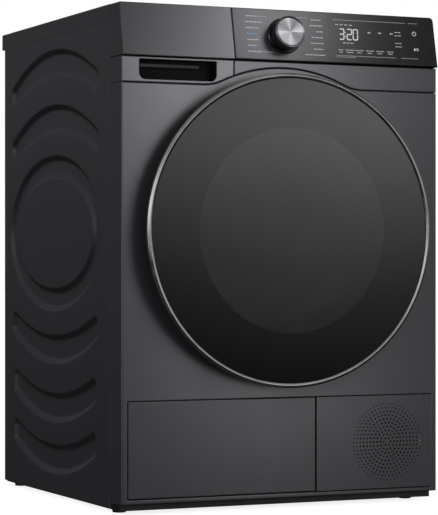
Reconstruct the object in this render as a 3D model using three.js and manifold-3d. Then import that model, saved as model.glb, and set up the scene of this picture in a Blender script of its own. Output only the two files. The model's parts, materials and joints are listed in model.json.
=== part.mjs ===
// Free-standing front-loading tumble dryer with a heat pump.
// Millimetres. +X is right seen from the front, the door faces -Y, +Z is up.
// The origin is on the floor, in the middle of the whole machine.
import * as THREE from "three";
import { mergeVertices } from "three/addons/utils/BufferGeometryUtils.js";
import Module from "manifold-3d";

const wasm = await Module();
wasm.setup();

// ---------------------------------------------------------------- driving dimensions
const WIDTH = 595;
const HEIGHT = 850;
const BODY_DEPTH = 592;
const DOOR_PROUD = 40;
const TOP_OVERHANG = 17;
const SHEET = 1.2;
const GAP = 0.4;

const HALF = WIDTH / 2;
const REAR_Y = (DOOR_PROUD + BODY_DEPTH - TOP_OVERHANG) / 2;
const FRONT_Y = REAR_Y - BODY_DEPTH;
const TOP_REAR_Y = REAR_Y + TOP_OVERHANG;
const PANEL_BOTTOM = 18.7;
const TOP_COVER_Z = 821.5;
const RETURN = 55;

const SEAM_Z = 716;
const SEAM_GAP = 0.9;
const PLINTH_TOP = 188.3;
const PLINTH_BOTTOM = 27.8;
const PLINTH_HALF = 286;
const PLINTH_SPLIT = 60.5;

const AXIS_Z = 472.4;
const DOOR_R = 265.4;
const OPENING_R = 195;
const SEAM_R = 276.2;

const CONSOLE_LIP_Z = 761.2;
const CONSOLE_LIP_PROUD = 6.2;
const CONSOLE_TOP_BACK = 12;
const CONSOLE_TILT = Math.atan2(CONSOLE_LIP_PROUD + CONSOLE_TOP_BACK, HEIGHT - CONSOLE_LIP_Z);
const CONSOLE_WALL = 3;
const DRAWER_RIGHT = -94;

const DRUM_R = 282;
const DRUM_FRONT = FRONT_Y + 92;
const DRUM_REAR = REAR_Y - 42;

const SEGMENTS = 32;

// ---------------------------------------------------------------- materials
function finish(color, roughness, metalness) {
  return new THREE.MeshStandardMaterial({ color, roughness, metalness });
}

const PAINT = finish(0x3a393d, 0.42, 0.6);
const FRONT_PAINT = finish(0x4a494e, 0.4, 0.6);
const CONSOLE_PLASTIC = finish(0x3c3b40, 0.38, 0.3);
const BLACK_GLOSS = finish(0x0e0e10, 0.1, 0.0);
const BLACK_PLASTIC = finish(0x18181a, 0.6, 0.0);
const GREY_PLASTIC = finish(0x8c8d8f, 0.6, 0.0);
const WHITE_PLASTIC = finish(0xd8d8d4, 0.5, 0.0);
const CHROME = finish(0x9c9c9e, 0.22, 1.0);
const ALUMINIUM = finish(0xa9aaac, 0.32, 1.0);
const STAINLESS = finish(0xb4b5b7, 0.3, 1.0);
const ZINC = finish(0x9b9da0, 0.45, 1.0);
const GLASS = finish(0x1c1c1b, 0.05, 0.0);
const RUBBER = finish(0x222224, 0.85, 0.0);
const FELT = finish(0xc9c4b6, 0.95, 0.0);
const BOARD_GREEN = finish(0x2f5d3a, 0.6, 0.0);

// ---------------------------------------------------------------- solids
function signedVolume(position, index) {
  const a = new THREE.Vector3();
  const b = new THREE.Vector3();
  const c = new THREE.Vector3();
  let sum = 0;
  for (let i = 0; i < index.length; i += 3) {
    a.fromBufferAttribute(position, index[i]);
    b.fromBufferAttribute(position, index[i + 1]);
    c.fromBufferAttribute(position, index[i + 2]);
    sum += a.dot(b.cross(c));
  }
  return sum / 6;
}

// A closed three.js geometry as a manifold solid, with its faces turned outwards.
function solidOf(geometry) {
  const bare = new THREE.BufferGeometry();
  bare.setAttribute("position", geometry.getAttribute("position"));
  if (geometry.index) {
    bare.setIndex(geometry.index);
  }
  const merged = mergeVertices(bare, 1e-3);
  const all = Array.from(merged.index.array);
  const kept = [];
  for (let i = 0; i < all.length; i += 3) {
    const [p, q, r] = all.slice(i, i + 3);
    if (p !== q && q !== r && r !== p) {
      kept.push(p, q, r);
    }
  }
  const position = merged.getAttribute("position");
  if (signedVolume(position, kept) < 0) {
    kept.reverse();
  }
  const mesh = new wasm.Mesh({
    numProp: 3,
    vertProperties: new Float32Array(position.array),
    triVerts: new Uint32Array(kept),
  });
  return new wasm.Manifold(mesh);
}

function join(first, ...others) {
  return others.reduce((sum, other) => sum.add(other), first);
}

function cut(base, ...tools) {
  return tools.reduce((rest, tool) => rest.subtract(tool), base);
}

function box(x0, x1, y0, y1, z0, z1) {
  const geometry = new THREE.BoxGeometry(x1 - x0, y1 - y0, z1 - z0);
  geometry.translate((x0 + x1) / 2, (y0 + y1) / 2, (z0 + z1) / 2);
  return solidOf(geometry);
}

// A cylinder along Y, from y0 to y1, round the line through x and z.
function rodY(radius, y0, y1, x, z, segments = 24) {
  const geometry = new THREE.CylinderGeometry(radius, radius, y1 - y0, segments);
  geometry.translate(x, (y0 + y1) / 2, z);
  return solidOf(geometry);
}

function rodX(radius, x0, x1, y, z, segments = 16) {
  const geometry = new THREE.CylinderGeometry(radius, radius, x1 - x0, segments);
  geometry.rotateZ(Math.PI / 2);
  geometry.translate((x0 + x1) / 2, y, z);
  return solidOf(geometry);
}

function rodZ(radius, z0, z1, x, y, segments = 24) {
  const geometry = new THREE.CylinderGeometry(radius, radius, z1 - z0, segments);
  geometry.rotateX(Math.PI / 2);
  geometry.translate(x, y, (z0 + z1) / 2);
  return solidOf(geometry);
}

// A turned shape round a line along Y: points are [radius, y] and close on themselves or on the axis.
function turned(points, x, z, segments = SEGMENTS) {
  const outline = points.map(([radius, y]) => new THREE.Vector2(radius, y));
  if (points[0][0] > 0) {
    outline.push(outline[0].clone());
  }
  const geometry = new THREE.LatheGeometry(outline, segments);
  geometry.translate(x, 0, z);
  return solidOf(geometry);
}

// A turned shape round a vertical line: points are [radius, z].
function turnedUp(points, x, y, segments = 32) {
  const outline = points.map(([radius, z]) => new THREE.Vector2(radius, z));
  if (points[0][0] > 0) {
    outline.push(outline[0].clone());
  }
  const geometry = new THREE.LatheGeometry(outline, segments);
  geometry.rotateX(Math.PI / 2);
  geometry.translate(x, y, 0);
  return solidOf(geometry);
}

// A plate whose outline is drawn in X and Z and which fills y0 to y1.
function plateXZ(shape, y0, y1, curveSegments = 12) {
  const geometry = new THREE.ExtrudeGeometry(shape, { depth: y1 - y0, bevelEnabled: false, curveSegments });
  const basis = new THREE.Matrix4().makeBasis(
    new THREE.Vector3(1, 0, 0),
    new THREE.Vector3(0, 0, 1),
    new THREE.Vector3(0, -1, 0),
  );
  geometry.applyMatrix4(basis);
  geometry.translate(0, y1, 0);
  return solidOf(geometry);
}

// A prism whose outline is drawn in Y and Z and which fills x0 to x1.
function prismYZ(points, x0, x1) {
  const shape = new THREE.Shape(points.map(([y, z]) => new THREE.Vector2(y, z)));
  const geometry = new THREE.ExtrudeGeometry(shape, { depth: x1 - x0, bevelEnabled: false });
  geometry.applyMatrix4(sideBasis());
  geometry.translate(x0, 0, 0);
  return solidOf(geometry);
}

function sideBasis() {
  return new THREE.Matrix4().makeBasis(
    new THREE.Vector3(0, 1, 0),
    new THREE.Vector3(0, 0, 1),
    new THREE.Vector3(1, 0, 0),
  );
}

function roundedRect(x0, x1, z0, z1, radius) {
  const shape = new THREE.Shape();
  shape.absarc(x1 - radius, z0 + radius, radius, -Math.PI / 2, 0, false);
  shape.absarc(x1 - radius, z1 - radius, radius, 0, Math.PI / 2, false);
  shape.absarc(x0 + radius, z1 - radius, radius, Math.PI / 2, Math.PI, false);
  shape.absarc(x0 + radius, z0 + radius, radius, Math.PI, 1.5 * Math.PI, false);
  return shape;
}

// A named mesh made from a solid.
function part(name, solid, material) {
  const mesh = solid.getMesh();
  const geometry = new THREE.BufferGeometry();
  geometry.setAttribute("position", new THREE.BufferAttribute(new Float32Array(mesh.vertProperties), 3));
  geometry.setIndex(Array.from(mesh.triVerts));
  geometry.computeVertexNormals();
  const result = new THREE.Mesh(geometry, material);
  result.name = name;
  return result;
}

// ---------------------------------------------------------------- cabinet
const EMBOSS_DEPTH = 6;
const EMBOSS_SLOPE = 12;
const EMBOSS_Y = FRONT_Y + 326;

// Half lengths and heights of the pressed bands on each side: the long edge is the outer one of the bow.
const BOWS = [
  { top: 799, topEnd: 740, bottom: 746, bottomEnd: 703, topHalf: 230, bottomHalf: 216 },
  { top: 701, topEnd: 639, bottom: 646.5, bottomEnd: 602, topHalf: 230, bottomHalf: 216 },
  { top: 291.5, topEnd: 334, bottom: 237.3, bottomEnd: 293, topHalf: 212, bottomHalf: 228 },
  { top: 188.4, topEnd: 231, bottom: 134.2, bottomEnd: 181, topHalf: 212, bottomHalf: 212 },
  { top: 97.2, topEnd: 138.5, bottom: 42.3, bottomEnd: 89.8, topHalf: 212, bottomHalf: 212 },
];
const RING_OUTER = [232.4, 139.9];
const RING_INNER = [191.5, 95.8];

function bowShape(bow) {
  const shape = new THREE.Shape();
  shape.moveTo(EMBOSS_Y - bow.bottomHalf, bow.bottomEnd);
  shape.quadraticCurveTo(EMBOSS_Y, 2 * bow.bottom - bow.bottomEnd, EMBOSS_Y + bow.bottomHalf, bow.bottomEnd);
  shape.lineTo(EMBOSS_Y + bow.topHalf, bow.topEnd);
  shape.quadraticCurveTo(EMBOSS_Y, 2 * bow.top - bow.topEnd, EMBOSS_Y - bow.topHalf, bow.topEnd);
  shape.closePath();
  return shape;
}

function ringShape() {
  const shape = new THREE.Shape();
  shape.absellipse(EMBOSS_Y, AXIS_Z - 1.5, RING_OUTER[0], RING_OUTER[1], 0, 2 * Math.PI, false);
  const hole = new THREE.Path();
  hole.absellipse(EMBOSS_Y, AXIS_Z - 1.5, RING_INNER[0], RING_INNER[1], 0, 2 * Math.PI, true);
  shape.holes.push(hole);
  return shape;
}

// The space of one pressed band: full outline outside the sheet, sloping walls inside it.
function pressing(shape, side, shift, curveSegments) {
  const clear = 4;
  const geometry = new THREE.ExtrudeGeometry(shape, {
    depth: clear,
    bevelEnabled: true,
    bevelThickness: EMBOSS_DEPTH,
    bevelSize: EMBOSS_SLOPE,
    bevelOffset: -EMBOSS_SLOPE,
    bevelSegments: 1,
    curveSegments,
  });
  geometry.applyMatrix4(sideBasis());
  geometry.translate(shift - HALF - clear, 0, 0);
  if (side > 0) {
    geometry.scale(-1, 1, 1);
  }
  return solidOf(geometry);
}

function sideBox(side, inner, outer, y0, y1, z0, z1) {
  const edges = [side * inner, side * outer].sort((p, q) => p - q);
  return box(edges[0], edges[1], y0, y1, z0, z1);
}

function sidePanel(name, side) {
  const top = TOP_COVER_Z - GAP;
  const front = FRONT_Y + RETURN + GAP;
  let sheet = join(
    sideBox(side, HALF - SHEET, HALF, front, REAR_Y, PANEL_BOTTOM, top),
    sideBox(side, HALF - 22, HALF, REAR_Y - SHEET, REAR_Y, PANEL_BOTTOM, top),
  );
  const inside = sideBox(side, HALF - 20, HALF, front, REAR_Y, PANEL_BOTTOM, top);
  const bands = BOWS.map((bow) => [bowShape(bow), 4]);
  bands.push([ringShape(), 10]);
  for (const [shape, curveSegments] of bands) {
    const pan = pressing(shape, side, SHEET, curveSegments).intersect(inside);
    sheet = cut(join(sheet, pan), pressing(shape, side, 0, curveSegments));
  }
  return part(name, sheet, PAINT);
}

function rearPanel() {
  const x = HALF - SHEET - GAP;
  const y = REAR_Y - SHEET - GAP;
  const sheet = cut(
    box(-x, x, y - SHEET, y, PANEL_BOTTOM + 2, TOP_COVER_Z - 6),
    rodY(150, y - 5, y + 5, 0, AXIS_Z, 32),
  );
  return part("rear_panel", sheet, ZINC);
}

// A shallow pressed lid over the air channel, with the bearing housing behind its middle.
function rearDuctCover() {
  const y = REAR_Y - SHEET;
  const cover = turned(
    [[0, y + 14], [180, y + 14], [218, y], [224, y], [182, y + 14 + SHEET], [0, y + 14 + SHEET]],
    0,
    AXIS_Z,
  );
  return part("rear_duct_cover", cover, ZINC);
}

function topCover() {
  const front = FRONT_Y + RETURN + GAP;
  const slab = join(
    box(-HALF, HALF, front, TOP_REAR_Y, HEIGHT - 16, HEIGHT),
    box(-HALF, HALF, TOP_REAR_Y - 5, TOP_REAR_Y, TOP_COVER_Z, HEIGHT),
    box(-HALF, -HALF + 5, front, TOP_REAR_Y, TOP_COVER_Z, HEIGHT),
    box(HALF - 5, HALF, front, TOP_REAR_Y, TOP_COVER_Z, HEIGHT),
  );
  return part("worktop", slab, PAINT);
}

// The seam above the door: level at both sides, bowed round the door between them.
function seamOutline(shape, offset) {
  const radius = SEAM_R + offset;
  const edge = 112;
  const angle = Math.acos(edge / radius);
  const rise = AXIS_Z + radius * Math.sin(angle);
  shape.lineTo(150, SEAM_Z + offset);
  shape.quadraticCurveTo(129, SEAM_Z + offset, edge, rise);
  shape.absarc(0, AXIS_Z, radius, angle, Math.PI - angle, false);
  shape.quadraticCurveTo(-129, SEAM_Z + offset, -150, SEAM_Z + offset);
}

const HINGE_X = 260;
const HINGE_Y = FRONT_Y - 20;
const HINGE_ARM_IN = 34;
const HINGE_ARM_OUT = 44;

function frontPanel() {
  const outline = new THREE.Shape();
  outline.moveTo(-HALF, PANEL_BOTTOM);
  outline.lineTo(HALF, PANEL_BOTTOM);
  outline.lineTo(HALF, SEAM_Z);
  seamOutline(outline, 0);
  outline.lineTo(-HALF, SEAM_Z);
  outline.closePath();
  const y = FRONT_Y;
  const sheet = join(
    plateXZ(outline, y, y + SHEET, 14),
    box(-HALF, -HALF + SHEET, y, y + RETURN, PANEL_BOTTOM, SEAM_Z),
    box(HALF - SHEET, HALF, y, y + RETURN, PANEL_BOTTOM, SEAM_Z),
    turned(
      [[OPENING_R, y], [OPENING_R + SHEET, y], [OPENING_R + SHEET, y + 14], [OPENING_R, y + 14]],
      0, AXIS_Z,
    ),
  );
  const slots = [-1, 1].map((sign) => {
    const middle = AXIS_Z + (sign * (HINGE_ARM_IN + HINGE_ARM_OUT)) / 2;
    return box(HINGE_X - 3.5, HINGE_X + 3.5, y - 1, y + 5, middle - 6.5, middle + 6.5);
  });
  return part(
    "front_panel",
    cut(
      sheet,
      rodY(OPENING_R, y - 1, y + 16, 0, AXIS_Z, SEGMENTS),
      box(-PLINTH_HALF - 0.5, PLINTH_HALF + 0.5, y - 1, y + 5, PLINTH_BOTTOM - 1.4, PLINTH_TOP + 0.5),
      box(-236, -218, y - 1, y + 5, AXIS_Z - 12, AXIS_Z + 12),
      ...slots,
    ),
    FRONT_PAINT,
  );
}

function upperStrip() {
  const y = FRONT_Y;
  const top = CONSOLE_LIP_Z - GAP;
  const outline = new THREE.Shape();
  const left = DRAWER_RIGHT + 0.8;
  outline.moveTo(left, top);
  outline.lineTo(left, SEAM_Z + 40);
  outline.lineTo(HALF, SEAM_Z + 40);
  outline.lineTo(HALF, top);
  outline.closePath();
  const below = new THREE.Shape();
  below.moveTo(-HALF, SEAM_Z - 60);
  below.lineTo(HALF + 5, SEAM_Z - 60);
  below.lineTo(HALF + 5, SEAM_Z + SEAM_GAP);
  seamOutline(below, SEAM_GAP);
  below.lineTo(-HALF, SEAM_Z + SEAM_GAP);
  below.closePath();
  const sheet = join(
    box(left, HALF, y, y + 2.5, SEAM_Z - 20, top),
    box(HALF - 2.5, HALF, y, y + RETURN, SEAM_Z - 20, top),
  );
  return part("upper_strip", cut(sheet, plateXZ(below, y - 1, y + RETURN + 1, 14)), CONSOLE_PLASTIC);
}

function terminalCover() {
  const y = REAR_Y - SHEET;
  const cover = join(
    box(185, 245, y, y + 13, 735, 790),
    box(200, 230, y, y + 10, 722, 736),
  );
  return part("terminal_cover", cut(cover, box(187.5, 242.5, y - 1, y + 10.5, 738, 787.5)), BLACK_PLASTIC);
}

function cabinet() {
  const group = new THREE.Group();
  group.add(sidePanel("side_panel_left", -1), sidePanel("side_panel_right", 1));
  group.add(rearPanel(), rearDuctCover(), topCover());
  group.add(frontPanel(), upperStrip(), terminalCover());
  return group;
}

// ---------------------------------------------------------------- console and condensate drawer
const KNOB_X = 1;
const KNOB_UP = 43.5;
const KNOB_R = 27.8;
const TANK = { x0: -282, x1: -122, y0: FRONT_Y + 66, y1: FRONT_Y + 450, z0: 747, z1: 810 };

// The sloping front part between x0 and x1, hollow from behind.
function consoleShell(x0, x1) {
  const lipY = FRONT_Y - CONSOLE_LIP_PROUD;
  const topY = FRONT_Y + CONSOLE_TOP_BACK;
  const backY = FRONT_Y + RETURN;
  const outline = [[lipY, CONSOLE_LIP_Z], [backY, CONSOLE_LIP_Z], [backY, HEIGHT], [topY, HEIGHT]];
  const outer = prismYZ(outline, x0, x1);
  const wall = CONSOLE_WALL;
  const slope = Math.tan(CONSOLE_TILT);
  const innerLip = lipY + wall / Math.cos(CONSOLE_TILT) + wall * slope;
  const innerTop = topY + wall / Math.cos(CONSOLE_TILT) - wall * slope;
  const inner = prismYZ(
    [[innerLip, CONSOLE_LIP_Z + wall], [backY + 1, CONSOLE_LIP_Z + wall], [backY + 1, HEIGHT - wall],
      [innerTop, HEIGHT - wall]],
    x0 + wall,
    x1 - wall,
  );
  return cut(outer, inner);
}

// Places a solid drawn on the sloping face: X right, Y up the slope, Z out of the face.
function onFace(...meshes) {
  const group = new THREE.Group();
  group.position.set(0, FRONT_Y - CONSOLE_LIP_PROUD, CONSOLE_LIP_Z);
  group.rotation.x = Math.PI / 2 - CONSOLE_TILT;
  group.add(...meshes);
  return group;
}

function faceSpace(solid) {
  const turn = new THREE.Matrix4().makeRotationX(Math.PI / 2 - CONSOLE_TILT);
  turn.setPosition(0, FRONT_Y - CONSOLE_LIP_PROUD, CONSOLE_LIP_Z);
  const mesh = solid.getMesh();
  const geometry = new THREE.BufferGeometry();
  geometry.setAttribute("position", new THREE.BufferAttribute(new Float32Array(mesh.vertProperties), 3));
  geometry.setIndex(Array.from(mesh.triVerts));
  geometry.applyMatrix4(turn);
  return solidOf(geometry);
}

const WINDOW = { x0: 88, x1: 284, low: 8, high: 83, deep: 1.6 };

function consoleFascia() {
  const recess = box(
    WINDOW.x0 - 0.4, WINDOW.x1 + 0.4, WINDOW.low - 0.4, WINDOW.high + 0.4, -WINDOW.deep - 0.4, 5,
  );
  return part(
    "console_fascia",
    cut(
      consoleShell(DRAWER_RIGHT + 0.8, HALF),
      faceSpace(recess),
      faceSpace(rodZ(6.2, -10, 5, KNOB_X, KNOB_UP, 16)),
    ),
    CONSOLE_PLASTIC,
  );
}

function displayWindow() {
  const pane = box(WINDOW.x0, WINDOW.x1, WINDOW.low, WINDOW.high, -WINDOW.deep, 0);
  return part("display_window", pane, BLACK_GLOSS);
}

function controlBoard() {
  const board = cut(
    box(-70, 284, 14, 74, -13.6, -12),
    rodZ(3, -20, 0, -62, 20, 12),
    rodZ(3, -20, 0, -62, 68, 12),
  );
  return part("control_board", board, BOARD_GREEN);
}

function selectorEncoder() {
  const body = join(
    box(KNOB_X - 8, KNOB_X + 8, KNOB_UP - 8, KNOB_UP + 8, -11.6, -4),
    rodZ(3, -5, 12, KNOB_X, KNOB_UP, 12),
  );
  return part("selector_encoder", body, ZINC);
}

function knobRing() {
  const ring = turnedUp(
    [[8, 0.3], [31, 0.3], [31, 2.4], [29.6, 4.2], [8, 4.2]],
    KNOB_X,
    KNOB_UP,
    24,
  );
  return part("knob_ring", ring, CHROME);
}

// The knob turns on the encoder's shaft.
function selectorKnob() {
  const cap = turnedUp(
    [
      [0, 26.5], [KNOB_R - 1.2, 26.5], [KNOB_R, 25.3], [KNOB_R - 0.4, 4.8], [KNOB_R - 3, 4.8],
      [KNOB_R - 3, 22], [7, 22], [7, 5], [3.5, 5], [3.5, 14], [0, 14],
    ],
    KNOB_X,
    KNOB_UP,
    24,
  );
  return part("selector_knob", cap, ALUMINIUM);
}

const POCKET = { x0: -266, x1: -126, z0: 722, z1: 757, deep: 18, radius: 11 };

// The left part of the console is the front of the drawer; a pocket under its lip takes the fingers.
function drawerFront() {
  const y = FRONT_Y;
  const right = DRAWER_RIGHT;
  const pocket = roundedRect(POCKET.x0, POCKET.x1, POCKET.z0, POCKET.z1, POCKET.radius);
  const housing = roundedRect(POCKET.x0 - 2, POCKET.x1 + 2, POCKET.z0 - 2, POCKET.z1 + 2, POCKET.radius + 2);
  const foot = SEAM_Z + SEAM_GAP;
  const below = new THREE.Shape();
  below.moveTo(-HALF - 5, SEAM_Z - 60);
  below.lineTo(HALF, SEAM_Z - 60);
  below.lineTo(HALF, foot);
  seamOutline(below, SEAM_GAP);
  below.lineTo(-HALF - 5, foot);
  below.closePath();
  const carrier = box(TANK.x0 + 6, TANK.x1 - 6, y + 0.5, TANK.y0 - GAP, 766, 790);
  const carrierSpace = box(TANK.x0 + 9, TANK.x1 - 9, y + 10, TANK.y0 + 1, 769, 791);
  const front = cut(
    join(
      consoleShell(-HALF, right),
      box(-HALF, right, y, y + 2.5, SEAM_Z - 5, CONSOLE_LIP_Z + 1),
      box(-HALF, -HALF + 2.5, y, y + RETURN, SEAM_Z - 5, CONSOLE_LIP_Z + 1),
      plateXZ(housing, y, y + POCKET.deep + 2, 4),
    ),
    plateXZ(pocket, y - 1, y + POCKET.deep, 4),
    plateXZ(below, y - 1, y + RETURN + 1, 14),
  );
  return part("drawer_front", join(front, cut(carrier, carrierSpace)), CONSOLE_PLASTIC);
}

function waterTank() {
  const wall = 2.5;
  const outer = box(TANK.x0, TANK.x1, TANK.y0, TANK.y1, TANK.z0, TANK.z1);
  const inner = box(
    TANK.x0 + wall, TANK.x1 - wall, TANK.y0 + wall, TANK.y1 - wall, TANK.z0 + wall, TANK.z1 + 1,
  );
  return part("water_tank", cut(outer, inner), WHITE_PLASTIC);
}

// The lid has a filling hole at the back and a pouring spout hole at the front.
function tankLid() {
  const z = TANK.z1 + GAP;
  const middle = (TANK.x0 + TANK.x1) / 2;
  const lid = cut(
    box(TANK.x0, TANK.x1, TANK.y0, TANK.y1, z, z + 2.5),
    rodZ(18, z - 1, z + 5, middle, TANK.y1 - 40, 20),
    rodZ(10, z - 1, z + 5, middle, TANK.y0 + 30, 16),
  );
  return part("water_tank_lid", lid, GREY_PLASTIC);
}

// The tray that the tank slides on, clear of the drum below it.
function tankBay() {
  const floor = TANK.z0 - 1.2;
  const bay = join(
    box(TANK.x0 - 4, TANK.x1 + 4, FRONT_Y + 70, TANK.y1 + 14, floor - 2.4, floor),
    box(TANK.x0 - 4, TANK.x0 - 2, FRONT_Y + 70, TANK.y1 + 14, floor - 2.4, floor + 26),
    box(TANK.x1 + 2, TANK.x1 + 4, FRONT_Y + 70, TANK.y1 + 14, floor - 2.4, floor + 26),
    box(TANK.x0 - 4, TANK.x1 + 4, TANK.y1 + 12, TANK.y1 + 14, floor - 2.4, floor + 26),
  );
  return part("tank_bay", bay, GREY_PLASTIC);
}

function consoleGroup() {
  const group = new THREE.Group();
  group.add(consoleFascia(), drawerFront(), waterTank(), tankLid(), tankBay());
  group.add(onFace(displayWindow(), controlBoard(), selectorEncoder(), knobRing(), selectorKnob()));
  return group;
}

// ---------------------------------------------------------------- door
const LATCH_X = -227;

// The door frame: a black side wall that tapers towards the cabinet, a flat back and the hinge barrel.
function doorFrame() {
  const y = FRONT_Y;
  const ring = turned(
    [[264.6, y - 24.6], [256.5, y - 1.6], [190, y - 1.6], [190, y - 30], [193, y - 30], [193, y - 4.6],
      [254.2, y - 4.6], [261.4, y - 24.6]],
    0,
    AXIS_Z,
  );
  const barrel = rodZ(4.4, AXIS_Z - HINGE_ARM_IN + 1, AXIS_Z + HINGE_ARM_IN - 1, HINGE_X, HINGE_Y, 16);
  const armSpaces = [-1, 1].map((sign) => {
    const edges = [AXIS_Z + sign * (HINGE_ARM_IN - 1), AXIS_Z + sign * (HINGE_ARM_OUT + 5)];
    edges.sort((p, q) => p - q);
    return box(HINGE_X - 5.5, HINGE_X + 12, y - 25, y + 2, edges[0], edges[1]);
  });
  const bore = rodZ(2.5, AXIS_Z - 60, AXIS_Z + 60, HINGE_X, HINGE_Y, 12);
  return part("door_frame", cut(join(ring, barrel), ...armSpaces, bore), BLACK_PLASTIC);
}

function doorGlass() {
  const y = FRONT_Y;
  const glass = turned(
    [[0, y - 40], [150, y - 38.2], [256.6, y - 33.6], [257, y - 31], [150, y - 34.6], [0, y - 36]],
    0,
    AXIS_Z,
  );
  return part("door_glass", glass, GLASS);
}

function doorTrimRing() {
  const y = FRONT_Y;
  const ring = turned(
    [[257.8, y - 34.6], [261, y - 36], [DOOR_R, y - 33.6], [DOOR_R, y - 25], [257.8, y - 25]],
    0,
    AXIS_Z,
  );
  return part("door_trim_ring", ring, CHROME);
}

// The inner glass closes the loading opening and bows a little way into it.
function doorBowl() {
  const y = FRONT_Y;
  const bowl = turned(
    [[0, y + 34], [120, y + 34], [168, y + 27], [189.4, y - 3], [189.4, y - 6.5], [184, y - 6.5],
      [165, y + 23.6], [119, y + 30.4], [0, y + 30.4]],
    0,
    AXIS_Z,
  );
  return part("door_bowl", bowl, GLASS);
}

function doorSeal() {
  const y = FRONT_Y;
  const seal = turned(
    [[190.6, y - 1.1], [194.2, y - 1.1], [194.2, y + 12], [191.6, y + 12]],
    0,
    AXIS_Z,
  );
  return part("door_seal", seal, RUBBER);
}

function latchHook() {
  const y = FRONT_Y;
  const hook = join(
    box(LATCH_X - 4, LATCH_X + 4, y - 1.2, y + 18, AXIS_Z - 6, AXIS_Z + 6),
    box(LATCH_X - 4, LATCH_X + 6, y + 12, y + 18, AXIS_Z - 6, AXIS_Z + 6),
  );
  return part("latch_hook", hook, ZINC);
}

function latchReceiver() {
  const y = FRONT_Y + SHEET + GAP;
  const shell = cut(
    box(-240, -212, y, y + 24, AXIS_Z - 18, AXIS_Z + 18),
    box(-237, -215, y - 1, y + 21, AXIS_Z - 13, AXIS_Z + 13),
  );
  return part("latch_receiver", shell, BLACK_PLASTIC);
}

// Two arms reach out through the front panel and carry the pin, behind the door's rim.
function hingeBracket() {
  const y = FRONT_Y;
  const plate = box(232, 284, y + SHEET + GAP, y + SHEET + GAP + 3, AXIS_Z - 66, AXIS_Z + 66);
  const arms = [-1, 1].map((sign) => {
    const edges = [AXIS_Z + sign * HINGE_ARM_IN, AXIS_Z + sign * HINGE_ARM_OUT].sort((p, q) => p - q);
    return join(
      box(HINGE_X - 2, HINGE_X + 2, HINGE_Y, y + SHEET + 2, edges[0], edges[1]),
      rodZ(4, edges[0], edges[1], HINGE_X, HINGE_Y, 16),
    );
  });
  const bore = rodZ(2.5, AXIS_Z - 60, AXIS_Z + 60, HINGE_X, HINGE_Y, 12);
  return part("hinge_bracket", cut(join(plate, ...arms), bore), ZINC);
}

function hingePin() {
  const reach = HINGE_ARM_OUT + 2;
  const pin = join(
    rodZ(2, AXIS_Z - reach, AXIS_Z + reach, HINGE_X, HINGE_Y, 12),
    rodZ(3.4, AXIS_Z + HINGE_ARM_OUT + 0.4, AXIS_Z + HINGE_ARM_OUT + 2.4, HINGE_X, HINGE_Y, 12),
  );
  return part("hinge_pin", pin, STAINLESS);
}

function door() {
  const group = new THREE.Group();
  group.add(doorFrame(), doorGlass(), doorTrimRing(), doorBowl(), doorSeal());
  group.add(latchHook(), latchReceiver(), hingeBracket(), hingePin());
  return group;
}

// ---------------------------------------------------------------- plinth and base
const FLAP_ROD = { y: FRONT_Y + 6.5, z: 36 };
const VENT = { x: 198, z: 108, rings: 2, pitch: 26, hole: 5 };
const FOOT_X = HALF - 24;
const FOOT_FRONT = FRONT_Y + 70;
const FOOT_REAR = REAR_Y - 27.8;
const TRAY = { z0: 7, z1: 40, wall: 3, y0: FRONT_Y + 18, y1: REAR_Y - 5 };

function grillePanel() {
  const y = FRONT_Y;
  const holes = [];
  for (let ring = 1; ring <= VENT.rings; ring += 1) {
    for (let place = 0; place < 6 * ring; place += 1) {
      const angle = (2 * Math.PI * place) / (6 * ring);
      const x = VENT.x + ring * VENT.pitch * Math.cos(angle);
      const z = VENT.z + ring * VENT.pitch * Math.sin(angle);
      holes.push(box(x - VENT.hole, x + VENT.hole, y - 1, y + 4, z - VENT.hole, z + VENT.hole));
    }
  }
  const plate = box(PLINTH_SPLIT + 0.6, PLINTH_HALF, y, y + 2.5, PLINTH_BOTTOM, PLINTH_TOP);
  return part("grille_panel", cut(plate, ...holes), FRONT_PAINT);
}

function maintenanceFlap() {
  const y = FRONT_Y;
  const lugs = [-240, 20].map(
    (x) => box(x - 6, x + 6, y + 2, FLAP_ROD.y + 4, FLAP_ROD.z - 4, FLAP_ROD.z + 8),
  );
  const flap = join(
    box(-PLINTH_HALF, PLINTH_SPLIT - 0.6, y, y + 2.5, PLINTH_BOTTOM, PLINTH_TOP),
    box(-120, -100, y + 2, y + 9, PLINTH_TOP - 14, PLINTH_TOP - 6),
    ...lugs,
  );
  return part("maintenance_flap", cut(flap, rodX(2, -260, 40, FLAP_ROD.y, FLAP_ROD.z, 12)), FRONT_PAINT);
}

function flapRod() {
  return part("flap_rod", rodX(1.5, -279, 58, FLAP_ROD.y, FLAP_ROD.z, 12), STAINLESS);
}

function baseTray() {
  const { z0, z1, wall, y0, y1 } = TRAY;
  const half = HALF - 4;
  const supports = [-276, 50].map((x) => box(x, x + 5, FLAP_ROD.y - 2.6, y0 + 1, FLAP_ROD.z - 2.5, z1));
  const bosses = footPlaces().map(([x, y]) => rodZ(9, z0, 30, x, y, 16));
  const bores = footPlaces().map(([x, y]) => rodZ(5.5, z0 - 1, 31, x, y, 12));
  const tray = join(
    cut(
      box(-half, half, y0, y1, z0, z1),
      box(-half + wall, half - wall, y0 + wall, y1 - wall, z0 + wall, z1 + 1),
    ),
    ...bosses,
    ...supports,
  );
  const rodBore = rodX(1.9, -290, 60, FLAP_ROD.y, FLAP_ROD.z, 12);
  return part("base_tray", cut(tray, ...bores, rodBore), BLACK_PLASTIC);
}

function footPlaces() {
  return [
    [-FOOT_X, FOOT_FRONT],
    [FOOT_X, FOOT_FRONT],
    [-FOOT_X, FOOT_REAR],
    [FOOT_X, FOOT_REAR],
  ];
}

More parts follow.
